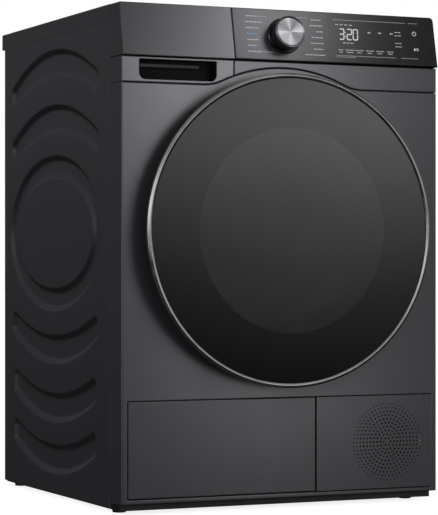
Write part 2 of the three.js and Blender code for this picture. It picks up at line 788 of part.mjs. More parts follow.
function levellingFeet() {
  const names = ["foot_front_left", "foot_front_right", "foot_rear_left", "foot_rear_right"];
  return footPlaces().map(([x, y], place) => {
    const foot = turnedUp([[0, 0], [11, 0], [12, 1.5], [12, 5], [5, 6.4], [5, 28], [0, 28]], x, y, 20);
    return part(names[place], foot, BLACK_PLASTIC);
  });
}

const BLOCK = { x0: -262, x1: 36, z0: 46, z1: 174 };

// Tubes-and-fins block: thin plates between two end sheets, open to the air from front to back.
function finnedBlock(name, y0, y1, material) {
  const fins = 16;
  const pitch = (BLOCK.x1 - BLOCK.x0) / fins;
  const gaps = [];
  for (let place = 0; place < fins; place += 1) {
    const x = BLOCK.x0 + place * pitch;
    gaps.push(box(x + 4, x + pitch, y0 - 1, y1 + 1, BLOCK.z0 + 5, BLOCK.z1 - 5));
  }
  const block = cut(box(BLOCK.x0, BLOCK.x1 + 4, y0, y1, BLOCK.z0, BLOCK.z1), ...gaps);
  return part(name, block, material);
}

const COVER_Y = FRONT_Y + 34;
const LEVERS = [
  { name: "exchanger_lever_left", x: -236 },
  { name: "exchanger_lever_right", x: 10 },
];
const LEVER_Z = 110;

function exchangerCover() {
  const cover = join(
    box(BLOCK.x0 - 4, BLOCK.x1 + 8, COVER_Y, COVER_Y + 4, BLOCK.z0, BLOCK.z1),
    box(BLOCK.x0 + 50, BLOCK.x1 - 46, COVER_Y - 8, COVER_Y + 1, 92, 128),
    ...LEVERS.map((lever) => rodY(3, COVER_Y - 10, COVER_Y + 1, lever.x, LEVER_Z, 12)),
  );
  const grip = box(-190, -34, COVER_Y - 12, COVER_Y - 2, 96, 124);
  return part("exchanger_cover", cut(cover, grip), GREY_PLASTIC);
}

function exchangerLevers() {
  return LEVERS.map((lever) => {
    const bar = cut(
      join(
        rodY(9, COVER_Y - 8, COVER_Y - GAP, lever.x, LEVER_Z, 16),
        box(lever.x - 7, lever.x + 7, COVER_Y - 8, COVER_Y - GAP, LEVER_Z - 46, LEVER_Z),
      ),
      rodY(3.6, COVER_Y - 12, COVER_Y + 2, lever.x, LEVER_Z, 12),
    );
    return part(lever.name, bar, GREY_PLASTIC);
  });
}

function compressor() {
  const shell = turnedUp(
    [[0, 18], [40, 18], [57, 34], [57, 178], [40, 202], [0, 206]],
    190,
    140,
    28,
  );
  const feet = box(140, 240, 90, 190, TRAY.z0 + TRAY.wall + GAP, 24);
  return part("compressor", join(shell, feet), BLACK_PLASTIC);
}

function condensatePump() {
  const pump = join(
    box(70, 116, 190, 240, TRAY.z0 + TRAY.wall + GAP, 60),
    rodZ(16, 58, 92, 93, 215, 16),
    rodX(5, 50, 72, 215, 50, 10),
  );
  return part("condensate_pump", pump, GREY_PLASTIC);
}

const FAN = { x: VENT.x, z: VENT.z, y: FRONT_Y + 40, radius: 58 };

function coolingFan() {
  const blades = [];
  for (let place = 0; place < 5; place += 1) {
    const blade = new THREE.BoxGeometry(FAN.radius - 8, 2.5, 30);
    blade.rotateX(0.5);
    blade.translate((FAN.radius + 8) / 2, 0, 0);
    blade.rotateY((2 * Math.PI * place) / 5);
    blade.translate(FAN.x, FAN.y, FAN.z);
    blades.push(solidOf(blade));
  }
  const hub = rodY(15, FAN.y - 10, FAN.y + 10, FAN.x, FAN.z, 20);
  return part("cooling_fan", join(hub, ...blades), BLACK_PLASTIC);
}

function fanFrame() {
  const y0 = FAN.y - 14;
  const y1 = FAN.y + 26;
  const struts = [
    box(FAN.x - 64, FAN.x + 64, y1 - 5, y1, FAN.z - 4, FAN.z + 4),
    box(FAN.x - 4, FAN.x + 4, y1 - 5, y1, FAN.z - 64, FAN.z + 64),
    box(FAN.x - 40, FAN.x + 40, y1 - 5, y1, 45, FAN.z - 55),
    rodY(17, FAN.y + 10.6, y1, FAN.x, FAN.z, 16),
  ];
  const ring = turned([[61, y0], [65, y0], [65, y1], [61, y1]], FAN.x, FAN.z, 28);
  return part("fan_frame", join(ring, ...struts), GREY_PLASTIC);
}

function baseGroup() {
  const group = new THREE.Group();
  group.add(grillePanel(), maintenanceFlap(), flapRod(), baseTray(), ...levellingFeet());
  group.add(finnedBlock("evaporator", FRONT_Y + 56, FRONT_Y + 220, ALUMINIUM));
  group.add(finnedBlock("condenser", FRONT_Y + 232, FRONT_Y + 350, ALUMINIUM));
  group.add(exchangerCover(), ...exchangerLevers(), compressor(), condensatePump(), coolingFan(), fanFrame());
  return group;
}

// ---------------------------------------------------------------- drum, belt and motor
const LIFTERS = 3;
const LIFTER_HEIGHT = 52;
const BELT = { y0: 90, y1: 98, thick: 2 };
const MOTOR = { x: -186, z: 118, pulley: 12 };
const ROLLER = { radius: 20, angle: THREE.MathUtils.degToRad(35), y0: FRONT_Y + 102, y1: FRONT_Y + 124 };
const COLLAR_R = 240;

function drumShell() {
  const y0 = DRUM_FRONT;
  const y1 = DRUM_REAR;
  const t = SHEET;
  const shell = turned(
    [[0, y1], [DRUM_R, y1], [DRUM_R, y0], [COLLAR_R + 8, y0], [COLLAR_R + 8, y0 + t], [DRUM_R - t, y0 + t],
      [DRUM_R - t, y1 - t], [0, y1 - t]],
    0,
    AXIS_Z,
  );
  const vents = [];
  for (let place = 0; place < 8; place += 1) {
    const angle = (2 * Math.PI * (place + 0.5)) / 8;
    vents.push(rodY(24, y1 - 5, y1 + 5, 120 * Math.cos(angle), AXIS_Z + 120 * Math.sin(angle), 8));
  }
  return part("drum_shell", cut(shell, ...vents), STAINLESS);
}

// Each lifter is a rounded ridge along the drum's inside wall.
function drumLifters() {
  const lifters = [];
  for (let place = 0; place < LIFTERS; place += 1) {
    const base = DRUM_R * Math.cos(Math.PI / SEGMENTS) - SHEET - 3;
    const shape = new THREE.Shape();
    shape.moveTo(-38, -base + 3);
    shape.lineTo(38, -base + 3);
    shape.lineTo(14, -base + LIFTER_HEIGHT);
    shape.lineTo(-14, -base + LIFTER_HEIGHT);
    shape.closePath();
    const geometry = new THREE.ExtrudeGeometry(shape, {
      depth: DRUM_REAR - DRUM_FRONT - 60,
      bevelEnabled: false,
    });
    geometry.rotateX(Math.PI / 2);
    geometry.rotateY((2 * Math.PI * place) / LIFTERS + 0.6);
    geometry.translate(0, DRUM_REAR - 30, AXIS_Z);
    lifters.push(part(`drum_lifter_${place + 1}`, solidOf(geometry), GREY_PLASTIC));
  }
  return lifters;
}

function drumShaft() {
  const y = DRUM_REAR + GAP;
  const shaft = turned([[0, y], [60, y], [60, y + 3], [12, y + 6], [12, y + 34], [0, y + 34]], 0, AXIS_Z, 24);
  return part("drum_shaft", shaft, ZINC);
}

function drumBearing() {
  const y = DRUM_REAR + 12;
  const housing = turned(
    [[12.8, y], [26, y], [26, y + 14], [178, y + 22], [178, y + 24.6], [12.8, y + 24.6]],
    0,
    AXIS_Z,
    24,
  );
  return part("bearing_housing", housing, ZINC);
}

function rollerPlaces() {
  const reach = DRUM_R + ROLLER.radius + GAP;
  return [-1, 1].map((side) => [
    side * reach * Math.sin(ROLLER.angle),
    AXIS_Z - reach * Math.cos(ROLLER.angle),
  ]);
}

function supportRollers() {
  const names = ["support_roller_left", "support_roller_right"];
  return rollerPlaces().map(([x, z], place) => {
    const { radius, y0, y1 } = ROLLER;
    const roller = turned([[6, y0], [radius, y0], [radius, y1], [6, y1]], x, z, 24);
    return part(names[place], roller, RUBBER);
  });
}

const FILTER = { half: 102, y0: FRONT_Y + 47, y1: FRONT_Y + 78, z0: 191, z1: 284 };

// The bulkhead closes the cabinet in front of the drum and holds the filter's slot and the roller axles.
function frontBulkhead() {
  const y = FRONT_Y;
  const tunnel = turned(
    [
      [200, y + 15], [203, y + 15], [203, y + 36], [COLLAR_R, y + 36],
      [COLLAR_R, y + 100], [COLLAR_R - 4, y + 100], [COLLAR_R - 4, y + 40], [200, y + 40],
    ],
    0,
    AXIS_Z,
  );
  const plate = box(-282, 282, y + 36, y + 40, 186, 700);
  const slotHalf = FILTER.half + 1.4;
  const housing = cut(
    box(-slotHalf - 3, slotHalf + 3, FILTER.y0 - 4, FILTER.y1 + 5, 186, 304),
    rodY(200, y, y + 100, 0, AXIS_Z, SEGMENTS),
  );
  const axles = rollerPlaces().map(([x, z]) => rodY(5.2, y + 39, y + 126, x, z, 12));
  const bulkhead = cut(
    join(tunnel, plate, housing, ...axles),
    rodY(200, y + 30, y + 45, 0, AXIS_Z, SEGMENTS),
    box(-slotHalf, slotHalf, FILTER.y0 - 1.4, FILTER.y1 + 1.4, FILTER.z0 - 0.6, 330),
  );
  return part("front_bulkhead", bulkhead, GREY_PLASTIC);
}

function feltSeal() {
  const y = DRUM_FRONT;
  const seal = turned(
    [[COLLAR_R + 0.5, y - 4], [COLLAR_R + 4.8, y - 4], [COLLAR_R + 4.8, y + 5], [COLLAR_R + 0.5, y + 5]],
    0,
    AXIS_Z,
  );
  return part("felt_seal", seal, FELT);
}

// The filter lifts straight up out of its slot by the grip on its top.
function lintFilter() {
  const { half, y0, y1, z0, z1 } = FILTER;
  const body = join(
    cut(
      box(-half, half, y0, y1, z0, z1),
      box(-half + 8, -4, y0 + 3, y1 - 3, z0 + 8, z1 + 1),
      box(4, half - 8, y0 + 3, y1 - 3, z0 + 8, z1 + 1),
    ),
    box(-34, 34, y0 + 10, y1 - 10, z1 - 2, z1 + 14),
  );
  return part("lint_filter", body, BLACK_PLASTIC);
}

// The outline of a belt round two circles, moved outwards by an offset.
function beltOutline(bigRadius, smallRadius) {
  const dx = MOTOR.x;
  const dz = MOTOR.z - AXIS_Z;
  const span = Math.hypot(dx, dz);
  const heading = Math.atan2(dz, dx);
  const spread = Math.acos((bigRadius - smallRadius) / span);
  const points = [];
  const around = 40;
  for (let step = 0; step <= around; step += 1) {
    const angle = heading + spread + ((2 * Math.PI - 2 * spread) * step) / around;
    points.push(new THREE.Vector2(bigRadius * Math.cos(angle), AXIS_Z + bigRadius * Math.sin(angle)));
  }
  const bends = 10;
  for (let step = 0; step <= bends; step += 1) {
    const angle = heading - spread + (2 * spread * step) / bends;
    points.push(new THREE.Vector2(
      MOTOR.x + smallRadius * Math.cos(angle),
      MOTOR.z + smallRadius * Math.sin(angle),
    ));
  }
  return points;
}

function drumBelt() {
  const clear = 1;
  const shape = new THREE.Shape(beltOutline(DRUM_R + clear + BELT.thick, MOTOR.pulley + clear + BELT.thick));
  shape.holes.push(new THREE.Path(beltOutline(DRUM_R + clear, MOTOR.pulley + clear)));
  return part("drum_belt", plateXZ(shape, BELT.y0, BELT.y1), RUBBER);
}

const IDLER = { radius: 20, along: 0.2 };

// The idler leans on the slack run of the belt: a point part of the way from the pulley to the drum.
function idlerPlace() {
  const dx = MOTOR.x;
  const dz = MOTOR.z - AXIS_Z;
  const angle = Math.atan2(dz, dx) - Math.acos((DRUM_R - MOTOR.pulley) / Math.hypot(dx, dz));
  const clear = 1 + BELT.thick + 0.8 + IDLER.radius;
  const reach = THREE.MathUtils.lerp(MOTOR.pulley, DRUM_R, IDLER.along) + clear;
  const x = THREE.MathUtils.lerp(MOTOR.x, 0, IDLER.along) + reach * Math.cos(angle);
  const z = THREE.MathUtils.lerp(MOTOR.z, AXIS_Z, IDLER.along) + reach * Math.sin(angle);
  return [x, z];
}

function idlerPulley() {
  const [x, z] = idlerPlace();
  const [y0, y1] = [BELT.y0 - 1, BELT.y1 + 1];
  const profile = [[4, y0], [IDLER.radius, y0], [IDLER.radius, y1], [4, y1]];
  return part("idler_pulley", turned(profile, x, z, 20), ZINC);
}

const MOTOR_BODY = { radius: 46, y0: 114, y1: 205 };
const WHEEL = { radius: 56, y0: 228, y1: 276 };

function motorBody() {
  const { radius, y0, y1 } = MOTOR_BODY;
  const floor = TRAY.z0 + TRAY.wall + GAP;
  const shell = turned(
    [[6.5, y0], [30, y0], [radius, y0 + 12], [radius, y1 - 12], [30, y1], [6.5, y1]],
    MOTOR.x,
    MOTOR.z,
    28,
  );
  const stand = box(MOTOR.x - 36, MOTOR.x + 36, y0 + 20, y1 - 20, floor, MOTOR.z - 30);
  const [x, z] = idlerPlace();
  const back = BELT.y1 + 6;
  const idlerArm = [
    rodY(3.4, BELT.y0 - 2, back + 2, x, z, 12),
    box(x - 8, x + 8, back, back + 3, floor, z + 8),
    box(x - 8, MOTOR.x, back, back + 3, floor, floor + 30),
    box(MOTOR.x - 30, MOTOR.x - 10, back, y0 + 21, floor, floor + 30),
  ];
  return part("motor", join(shell, stand, ...idlerArm), ZINC);
}

// One shaft carries the belt pulley at its front end and the blower wheel at its back end.
function motorShaft() {
  const vanes = [];
  for (let place = 0; place < 8; place += 1) {
    const vane = new THREE.BoxGeometry(WHEEL.radius - 10, WHEEL.y1 - WHEEL.y0 - 3, 2.5);
    vane.translate((WHEEL.radius + 6) / 2, 0, 0);
    vane.rotateY((2 * Math.PI * place) / 8);
    vane.translate(MOTOR.x, (WHEEL.y0 + WHEEL.y1) / 2, MOTOR.z);
    vanes.push(solidOf(vane));
  }
  const shaft = join(
    rodY(5, BELT.y0 - 4, WHEEL.y1 + 2, MOTOR.x, MOTOR.z, 12),
    rodY(MOTOR.pulley, BELT.y0 - 2, BELT.y1 + 2, MOTOR.x, MOTOR.z, 20),
    rodY(WHEEL.radius, WHEEL.y0, WHEEL.y0 + 3, MOTOR.x, MOTOR.z, 28),
    rodY(12, WHEEL.y0, WHEEL.y1, MOTOR.x, MOTOR.z, 16),
    ...vanes,
  );
  return part("motor_shaft", shaft, ZINC);
}

function blowerHousing() {
  const y0 = WHEEL.y0 - 8;
  const y1 = WHEEL.y1 + 10;
  const r = WHEEL.radius + 5;
  const floor = TRAY.z0 + TRAY.wall + GAP;
  const profile = [[r, y0], [r + 3, y0], [r + 3, y1], [22, y1], [22, y1 - 3], [r, y1 - 3]];
  const stand = cut(
    box(MOTOR.x - 40, MOTOR.x + 40, y0, y1, floor, MOTOR.z - 40),
    rodY(r + 1, y0 - 1, y1 + 1, MOTOR.x, MOTOR.z, 32),
  );
  return part("blower_housing", join(turned(profile, MOTOR.x, MOTOR.z, 32), stand), GREY_PLASTIC);
}

function drumGroup() {
  const group = new THREE.Group();
  group.add(drumShell(), ...drumLifters(), drumShaft(), drumBearing(), ...supportRollers());
  group.add(frontBulkhead(), feltSeal(), lintFilter(), drumBelt(), idlerPulley());
  group.add(motorBody(), motorShaft(), blowerHousing());
  return group;
}

// ---------------------------------------------------------------- the whole machine
const dryer = new THREE.Group();
dryer.add(cabinet(), consoleGroup(), door(), baseGroup(), drumGroup());

export default dryer;
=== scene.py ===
"""Free-standing tumble dryer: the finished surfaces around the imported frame."""

import json
import math
from functools import partial

import bmesh
import bpy
import numpy as np
from bpy.props import FloatProperty, FloatVectorProperty, IntProperty, PointerProperty
from mathutils import Matrix, Vector
from mathutils.geometry import delaunay_2d_cdt


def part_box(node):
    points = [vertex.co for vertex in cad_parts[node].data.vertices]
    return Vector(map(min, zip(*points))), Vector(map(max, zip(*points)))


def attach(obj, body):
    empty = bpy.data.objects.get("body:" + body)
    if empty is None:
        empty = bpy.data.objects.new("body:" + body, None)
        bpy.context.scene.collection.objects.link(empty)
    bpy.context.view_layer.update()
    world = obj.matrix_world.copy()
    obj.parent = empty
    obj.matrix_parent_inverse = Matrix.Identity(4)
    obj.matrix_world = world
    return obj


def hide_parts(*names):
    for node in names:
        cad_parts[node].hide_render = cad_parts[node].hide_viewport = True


bl_info = {
    "name": "Tumble dryer",
    "version": (1, 0, 0),
    "blender": (4, 5, 0),
    "location": "3D View > Sidebar > Dryer",
    "description": "Builds the surfaces, finishes and studio of a front-loading tumble dryer",
    "category": "Object",
}

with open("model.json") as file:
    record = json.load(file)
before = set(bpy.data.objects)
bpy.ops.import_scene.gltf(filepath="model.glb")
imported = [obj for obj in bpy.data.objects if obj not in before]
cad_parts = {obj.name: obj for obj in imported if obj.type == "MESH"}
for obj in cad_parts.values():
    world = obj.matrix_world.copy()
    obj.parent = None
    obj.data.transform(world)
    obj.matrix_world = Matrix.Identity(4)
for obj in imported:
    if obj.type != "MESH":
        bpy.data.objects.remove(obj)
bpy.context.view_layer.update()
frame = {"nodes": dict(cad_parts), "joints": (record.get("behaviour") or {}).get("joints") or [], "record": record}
MM = 0.001

# ---------------------------------------------------------------- places taken from the frame
WORKTOP_LOW, WORKTOP_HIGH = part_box("worktop")
PANEL_LOW, PANEL_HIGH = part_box("front_panel")
CONSOLE_LOW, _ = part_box("console_fascia")
DRAWER_LOW, DRAWER_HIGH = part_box("drawer_front")
RING_LOW, RING_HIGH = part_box("door_trim_ring")
GRILLE_LOW, GRILLE_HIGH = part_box("grille_panel")
FLAP_LOW, FLAP_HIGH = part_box("maintenance_flap")
DRUM_LOW, DRUM_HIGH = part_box("drum_shell")
KNOB_LOW, KNOB_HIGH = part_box("selector_knob")
FILTER_LOW, FILTER_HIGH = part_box("lint_filter")
REAR_LOW, REAR_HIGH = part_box("rear_panel")
DUCT_LOW, DUCT_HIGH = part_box("rear_duct_cover")
TANK_LOW, TANK_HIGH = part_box("water_tank")

HALF = WORKTOP_HIGH.x
TOP_Z = WORKTOP_HIGH.z
FRONT_Y = PANEL_LOW.y
RETURN_Y = PANEL_HIGH.y
LIP_Y = CONSOLE_LOW.y
LIP_Z = CONSOLE_LOW.z
SEAM_GAP = 0.9 * MM
SEAM_Z = DRAWER_LOW.z - SEAM_GAP
SPLIT_X = DRAWER_HIGH.x
AXIS_Z = (RING_LOW.z + RING_HIGH.z) / 2
SEAM_R = PANEL_HIGH.z - AXIS_Z
OPENING_R = 195 * MM
CONSOLE_TOP_BACK = 12 * MM
TILT = math.atan2(FRONT_Y + CONSOLE_TOP_BACK - LIP_Y, TOP_Z - LIP_Z)
SLANT = math.hypot(FRONT_Y + CONSOLE_TOP_BACK - LIP_Y, TOP_Z - LIP_Z)
FACE = Matrix.Translation((0, LIP_Y, LIP_Z)) @ Matrix.Rotation(math.pi / 2 - TILT, 4, "X")
KNOB_X = (KNOB_LOW.x + KNOB_HIGH.x) / 2
KNOB_UP = 43.5 * MM
KNOB_CENTRE = FACE @ Vector((KNOB_X, KNOB_UP, 0))
JOINT = {joint["name"]: joint for joint in frame["joints"]}
HINGE = Vector(JOINT["door_hinge"]["pos_m"])

# ---------------------------------------------------------------- driving dimensions
SNAP = 0.01 * MM
WALL = 14 * MM
PLASTIC = 2.5 * MM
EDGE = 2 * MM
STRIP_TOP = LIP_Z - 2 * MM
# Place and thickness of the black webs that stand in for the shade behind the corner seams.
SHADE_WEB_FAR = 6 * MM
SHADE_WEB_THICK = 2.6 * MM
SEAM_TOUCH, SEAM_KNEE, SEAM_FLAT = 112 * MM, 129 * MM, 150 * MM
HINGE_ARM = 39 * MM
ARM_SLOT_HALF_WIDE, ARM_SLOT_HALF_TALL = 3.5 * MM, 6.5 * MM
LATCH_SLOT_ROOM, LATCH_SLOT_HALF_TALL = 4 * MM, 10 * MM
SLOT_DEEP = 5 * MM
POCKET_X = (-266 * MM, -126 * MM)
POCKET_Z = (722 * MM, 755 * MM)
POCKET_R = 11 * MM
POCKET_DEEP = 18 * MM
WINDOW_X = (88 * MM, 284 * MM)
WINDOW_UP = (8 * MM, 83 * MM)
POCKET_RIB_Y = FRONT_Y + 11 * MM
POCKET_RIB_Z = (POCKET_Z[0] + 21 * MM, POCKET_Z[0] + 26 * MM)
DRAWER_GAP = 0.8 * MM
WINDOW_GAP = 0.08 * MM
WINDOW_EDGE = 0.05 * MM
PLINTH_GAP = 0.5 * MM
VENT = (198 * MM, 108 * MM)
VENT_SHRINK = 0.35
HOLE_SIDES = 12
FLAP_BACK = FRONT_Y + 2.4 * MM
LUG_X = (-240 * MM, 20 * MM)
LUG_HALF = 6 * MM
GLASS_R = 256.8
GLASS_APEX = -40
GLASS_DROP = 6.4
GLASS_POWER = 2.4
GLASS_STEPS = 40
SIGHT_R = 172 * MM

# Pressed bows of the side panels, in mm: upper edge at its middle and ends, lower edge at its
# middle and ends, and half the length of each edge.
BOWS = (
    (799, 740, 746, 703, 230, 216),
    (701, 639, 646.5, 602, 230, 216),
    (291.5, 334, 237.3, 293, 212, 228),
    (188.4, 231, 134.2, 181, 212, 212),
    (97.2, 138.5, 42.3, 89.8, 212, 212),
)
BOW_STEPS = 16
BOW_Y = FRONT_Y / MM + 326
BOW_CORNER = 15 * MM
# The pressed ring's two edges: half of their width and of their height, in mm.
RING_OUTER = (232.4, 139.9)
RING_INNER = (191.5, 95.8)
PRESS_STEPS = 6
FRONT_LIP = 8 * MM
REAR_LIP = 22 * MM
SKIRT = 9 * MM

# The knob's face: (degrees from +X, strength) of the wedges of light that lathe marks throw, painted into the
# metal's colour as highlights and shade.
KNOB_PAINTED_WEDGES = (
    (-180, 1.15), (-150, 0.75), (-115, 0.8), (-92, 1.1), (-60, 0.5), (-30, 0.4), (-3, 0.55), (2, 1.2),
    (30, 0.75), (55, 0.35), (80, 0.5), (95, 0.95), (120, 0.5), (150, 0.45), (177, 0.75), (180, 1.15),
)
# The console's colour along X: (place along X in metres, share of the moulding's own colour).
# Towards the display on the right it darkens to black as print; the darkening towards the left end is painted
# shade, and the share above 1 near the middle is a painted highlight.
PRINT_FADE_AND_PAINTED_LIGHT = (
    (-0.2975, 0.4), (-0.14, 0.75), (-0.05, 1.1), (0.03, 0.7), (0.11, 0.2), (0.19, 0.05), (0.28, 0.0),
)

DRUM_COLLAR = 248 * MM
DRUM_BEADS = (0.06, 0.12, 0.5, 0.88, 0.94)
DRUM_BEAD_HALF = 3.5 * MM
DRUM_BEAD_DEPTH = 1.6 * MM
DRUM_WALL_RINGS = 150
DRUM_HOLE_RINGS = (7, 18)
LIFTER_TURN = 0.6
LIFTER_FOOT = 276.2 * MM
LIFTER_TALL = 50 * MM
LIFTER_SLOPE = 45 * MM
LIFTER_HALF_FOOT = 38 * MM
LIFTER_HALF_TOP = 16 * MM
LIFTER_CORNER = 10 * MM
LIFTER_RINGS = 120
LIFTER_RIB = 0.9 * MM
LIFTER_RIB_PITCH = 20 * MM
TUNNEL_R = 200 * MM
BORE_DEPTH = 120 * MM
BULKHEAD_NEAR, BULKHEAD_FAR = FRONT_Y + 36 * MM, FRONT_Y + 40 * MM
BULKHEAD_TOP = 700 * MM
BULKHEAD_R = 239 * MM
FILTER_HOUSING_TOP = 304 * MM
LOUVRES = 7
LOUVRE_X = 170 * MM
LOUVRE_HALF = 55 * MM
LOUVRE_FOOT = 74 * MM
LOUVRE_PITCH = 11 * MM
LOUVRE_TALL = 4 * MM
DUCT_OPENING_R = 150 * MM
SCREW_ROWS = 7
DUCT_SCREWS = 10
SCREW_R, SCREW_TALL = 3.6 * MM, 1.8 * MM
THREAD_FOOT = 7.2
THREAD_PITCH = 1.25

# Outlines of turned pieces, in mm: (radius, place along the line, radius of the corner). Those of
# the door, the bulkhead and the rollers count from the front panel's face.
RIM_OUTLINE = (
    (257.8, -25, 0.6), (265.4, -25, 1.2), (265.4, -33.6, 1.4), (261.2, -36, 1.6), (257.8, -34.4, 0.4),
)
BOWL_OUTLINE = (
    (0, 34, 0), (120, 34, 30), (168, 27, 14), (189.4, -3, 2), (189.4, -6.5, 1), (184, -6.5, 1),
    (165, 23.6, 12), (119, 30.4, 28), (0, 30.4, 0),
)
LIP_SEAL_OUTLINE = (
    (190.6, -1.1, 0.5), (194.2, -1.1, 0.5), (194.2, 12, 0.8), (193.2, 12, 0.4), (192.8, 3, 0.6),
    (191.6, 9, 0.5), (190.8, 6, 0.5),
)
DOOR_FRAME_OUTLINE = (
    (264.6, -24.6, 0.8), (256.5, -1.6, 1.6), (190, -1.6, 1), (190, -30, 0.8), (193, -30, 0.8),
    (193, -4.6, 1), (254.2, -4.6, 1), (261.4, -24.6, 0.6),
)
KNOB_OUTLINE = (
    (0, 26.2, 0), (24.6, 25.7, 6), (25.4, 26.5, 0.3), (27.0, 26.3, 0.6), (27.8, 25.0, 0.7),
    (27.5, 4.8, 0.6), (24.8, 4.8, 0.5), (24.8, 22, 1), (7, 22, 1), (7, 5, 0.5), (3.5, 5, 0.3),
    (3.5, 14, 0.5), (0, 14, 0),
)
KNOB_RING_OUTLINE = ((8, 0.3, 0.2), (31, 0.3, 0.2), (31, 2.6, 1), (29.6, 4.2, 1), (8, 4.2, 0.5))
HUB_CAP_OUTLINE = ((0, -9, 0), (34, -8.4, 10), (54, -4, 8), (58, -0.2, 1), (0, -0.2, 0))
TUNNEL_OUTLINE = (
    (200, 15, 1.2), (203, 15, 1.2), (203, 36, 1.5), (240, 36, 2), (240, 100, 1.2), (236, 100, 1.2),
    (236, 40, 3), (200, 40, 2.5),
)
AXLE_OUTLINE = ((0, 39, 0), (5.2, 39, 0.4), (5.2, 125.6, 0.8), (0, 125.6, 0))
FELT_OUTLINE = ((240.5, 88, 1), (244.8, 88, 1), (244.8, 97, 1), (240.5, 97, 1))
DUCT_OUTLINE = (
    (0, 15.2, 0), (80, 15.2, 4), (88, 11.6, 4), (104, 11.6, 4), (112, 15.2, 4), (181, 15.2, 6),
    (221, 1.2, 2), (223.8, 1.2, 0.4), (223.8, 0, 0.4), (220, 0, 2), (180, 14, 5), (112.6, 14, 4),
    (104.6, 10.4, 4), (87.4, 10.4, 4), (79.4, 14, 4), (0, 14, 0),
)
FOOT_PAD_OUTLINE = (
    (0, 0, 0), (10.4, 0, 1), (11.8, 1.4, 0.5), (11.8, 2.4, 0.2), (11.3, 2.7, 0.2), (11.8, 3.0, 0.2),
    (11.8, 4.6, 0.8), (8.2, 6.2, 0.6), (4.9, 6.4, 0.3),
)

# Prints on the console, in mm across and up its slope.
PROGRAMME_TOP, PROGRAMME_PITCH = 76.5, 10.4
PROGRAMMES_LEFT = (22, 30, 26, 18, 22, 15, 24)
PROGRAMMES_RIGHT = (20, 24, 12, 22, 24, 20, 36)
MARKED_PROGRAMME = 3
RULES = (
    (-46, -28, 76.5), (-46, -22, 14.0), (28, 50, 78.0), (97, 240, 77.5), (246, 264, 77.5),
    (98, 216, 13.5), (98, 136, 11.0), (226, 259, 13.5),
)
RULE_TALL = 0.45
DASH_PITCH, DASH_WIDE = 3.1, 2.2
PRINT_PROUD, PRINT_FOOT = 0.12 * MM, 0.02 * MM
# The display's digits: (left edge, segments that are lit).
DIGITS = ((107.6, "abcdg"), (122.5, "abdeg"), (134.2, "abcdef"))
DIGIT_TALL, DIGIT_WIDE, DIGIT_THICK = 18.6, 8.6, 1.9
DIGIT_FOOT, DIGIT_LEAN, DIGIT_GAP = 42.8, 0.08, 0.9
COLON_X = 119.8
# Rows of small marks: (left edge, height up the slope, width, height of the marks).
OPTION_ROWS = (
    *((102 + place * 9, 69, 3, 1.8) for place in range(4)),
    *((114 + place * 7.5, 36.5, 3, 1.6) for place in range(3)),
    *((x, 57, 5, 2.6) for x in (164, 185, 208)),
)
OPTION_NAMES = ((104, 10), (118, 18), (138, 14), (158, 14), (178, 14), (199, 13))
OPTION_SIDE_HEIGHTS = (60, 54, 40, 34)

# ---------------------------------------------------------------- studio
ROOM_PEAK = 4.0
ROOM_BY_HEIGHT = (
    (-1, 0.05), (-0.25, 0.05), (-0.155, 0.11), (-0.06, 0.4), (0.0, 0.8), (0.08, 1.7), (0.17, 2.8),
    (0.28, 1.8), (0.45, 0.5), (1, 0.5),
)
CARD_BY_HEADING = (
    (-3.15, 0.06), (-1.6, 0.1), (-1.25, 1.6), (-0.9, 0.8), (-0.3, 0.45), (0.2, 0.5), (0.42, 0.85),
    (0.62, 1.1), (0.9, 0.35), (1.8, 0.1), (3.15, 0.06),
)
# Soft lamps: name, place, target, size, watts, and the pieces that each one lights.
CONSOLE_FACES = ("console_fascia_skin", "display_window_pane", "drawer_front_skin")
FRONT_FACES = (
    "front_panel_skin", "upper_strip_skin", "drawer_front_skin", "flap_face", "grille_panel_skin",
)
EDGE_FACES = ("front_panel_skin", "drawer_front_skin")
LEFT_FACES = ("side_panel_left_skin", *EDGE_FACES)
REAR_FACES = ("rear_sheet", "duct_cover", "rear_screws", "terminal_cover")
INNER_FACES = (
    "drum_wall", "drum_rear_wall", "drum_hub_cap",
    "drum_lifter_1_ridge", "drum_lifter_2_ridge", "drum_lifter_3_ridge",
    "loading_tunnel", "bulkhead_plate", "filter_housing", "lint_filter", "felt_ring", "exchanger_cover",
)
LAMPS = (
    ("console_lamp", (0.24, -0.745, 1.1), (-0.02, -0.3, 0.8), 0.2, 2.4, CONSOLE_FACES),
    ("knob_lamp", (0.24, -0.745, 1.1), (-0.02, -0.3, 0.8), 0.3, 0.16, ("selector_knob_cap",)),
    ("front_lamp", (0.17, -0.934, 0.8), (-0.12, -0.3, 0.74), 0.4, 4.6, FRONT_FACES),
    ("plinth_lamp", (0.26, -0.93, 0.2), (-0.05, -0.3, 0.24), 0.3, 1.3, FRONT_FACES),
    ("left_lamp", (-1.1, 0.2, 2.1), (-0.3, 0.0, 0.5), 0.5, 9.0, LEFT_FACES),
    ("edge_lamp", (-2.2, -1.3, 0.5), (-0.3, -0.3, 0.45), 1.0, 25.0, EDGE_FACES),
    ("right_lamp", (1.1, 0.2, 2.1), (0.3, 0.0, 0.5), 0.5, 9.0, ("side_panel_right_skin",)),
    ("rear_lamp", (0.6, 1.6, 1.9), (0.0, 0.3, 0.45), 0.8, 40.0, REAR_FACES),
    ("drum_lamp", (-0.3, -1.3, 0.75), (0.0, 0.0, 0.45), 0.5, 14.0, INNER_FACES),
)
FLOOR_REACH = 30
FLOOR_GLOW = 0.85
LENS = 153.4
LENS_SHIFT = (0.0056, 0.0182)
CAMERA_PLACE = (-1.6468, FRONT_Y - 3.3492, 0.4113)
CAMERA_HEADING = 24.41


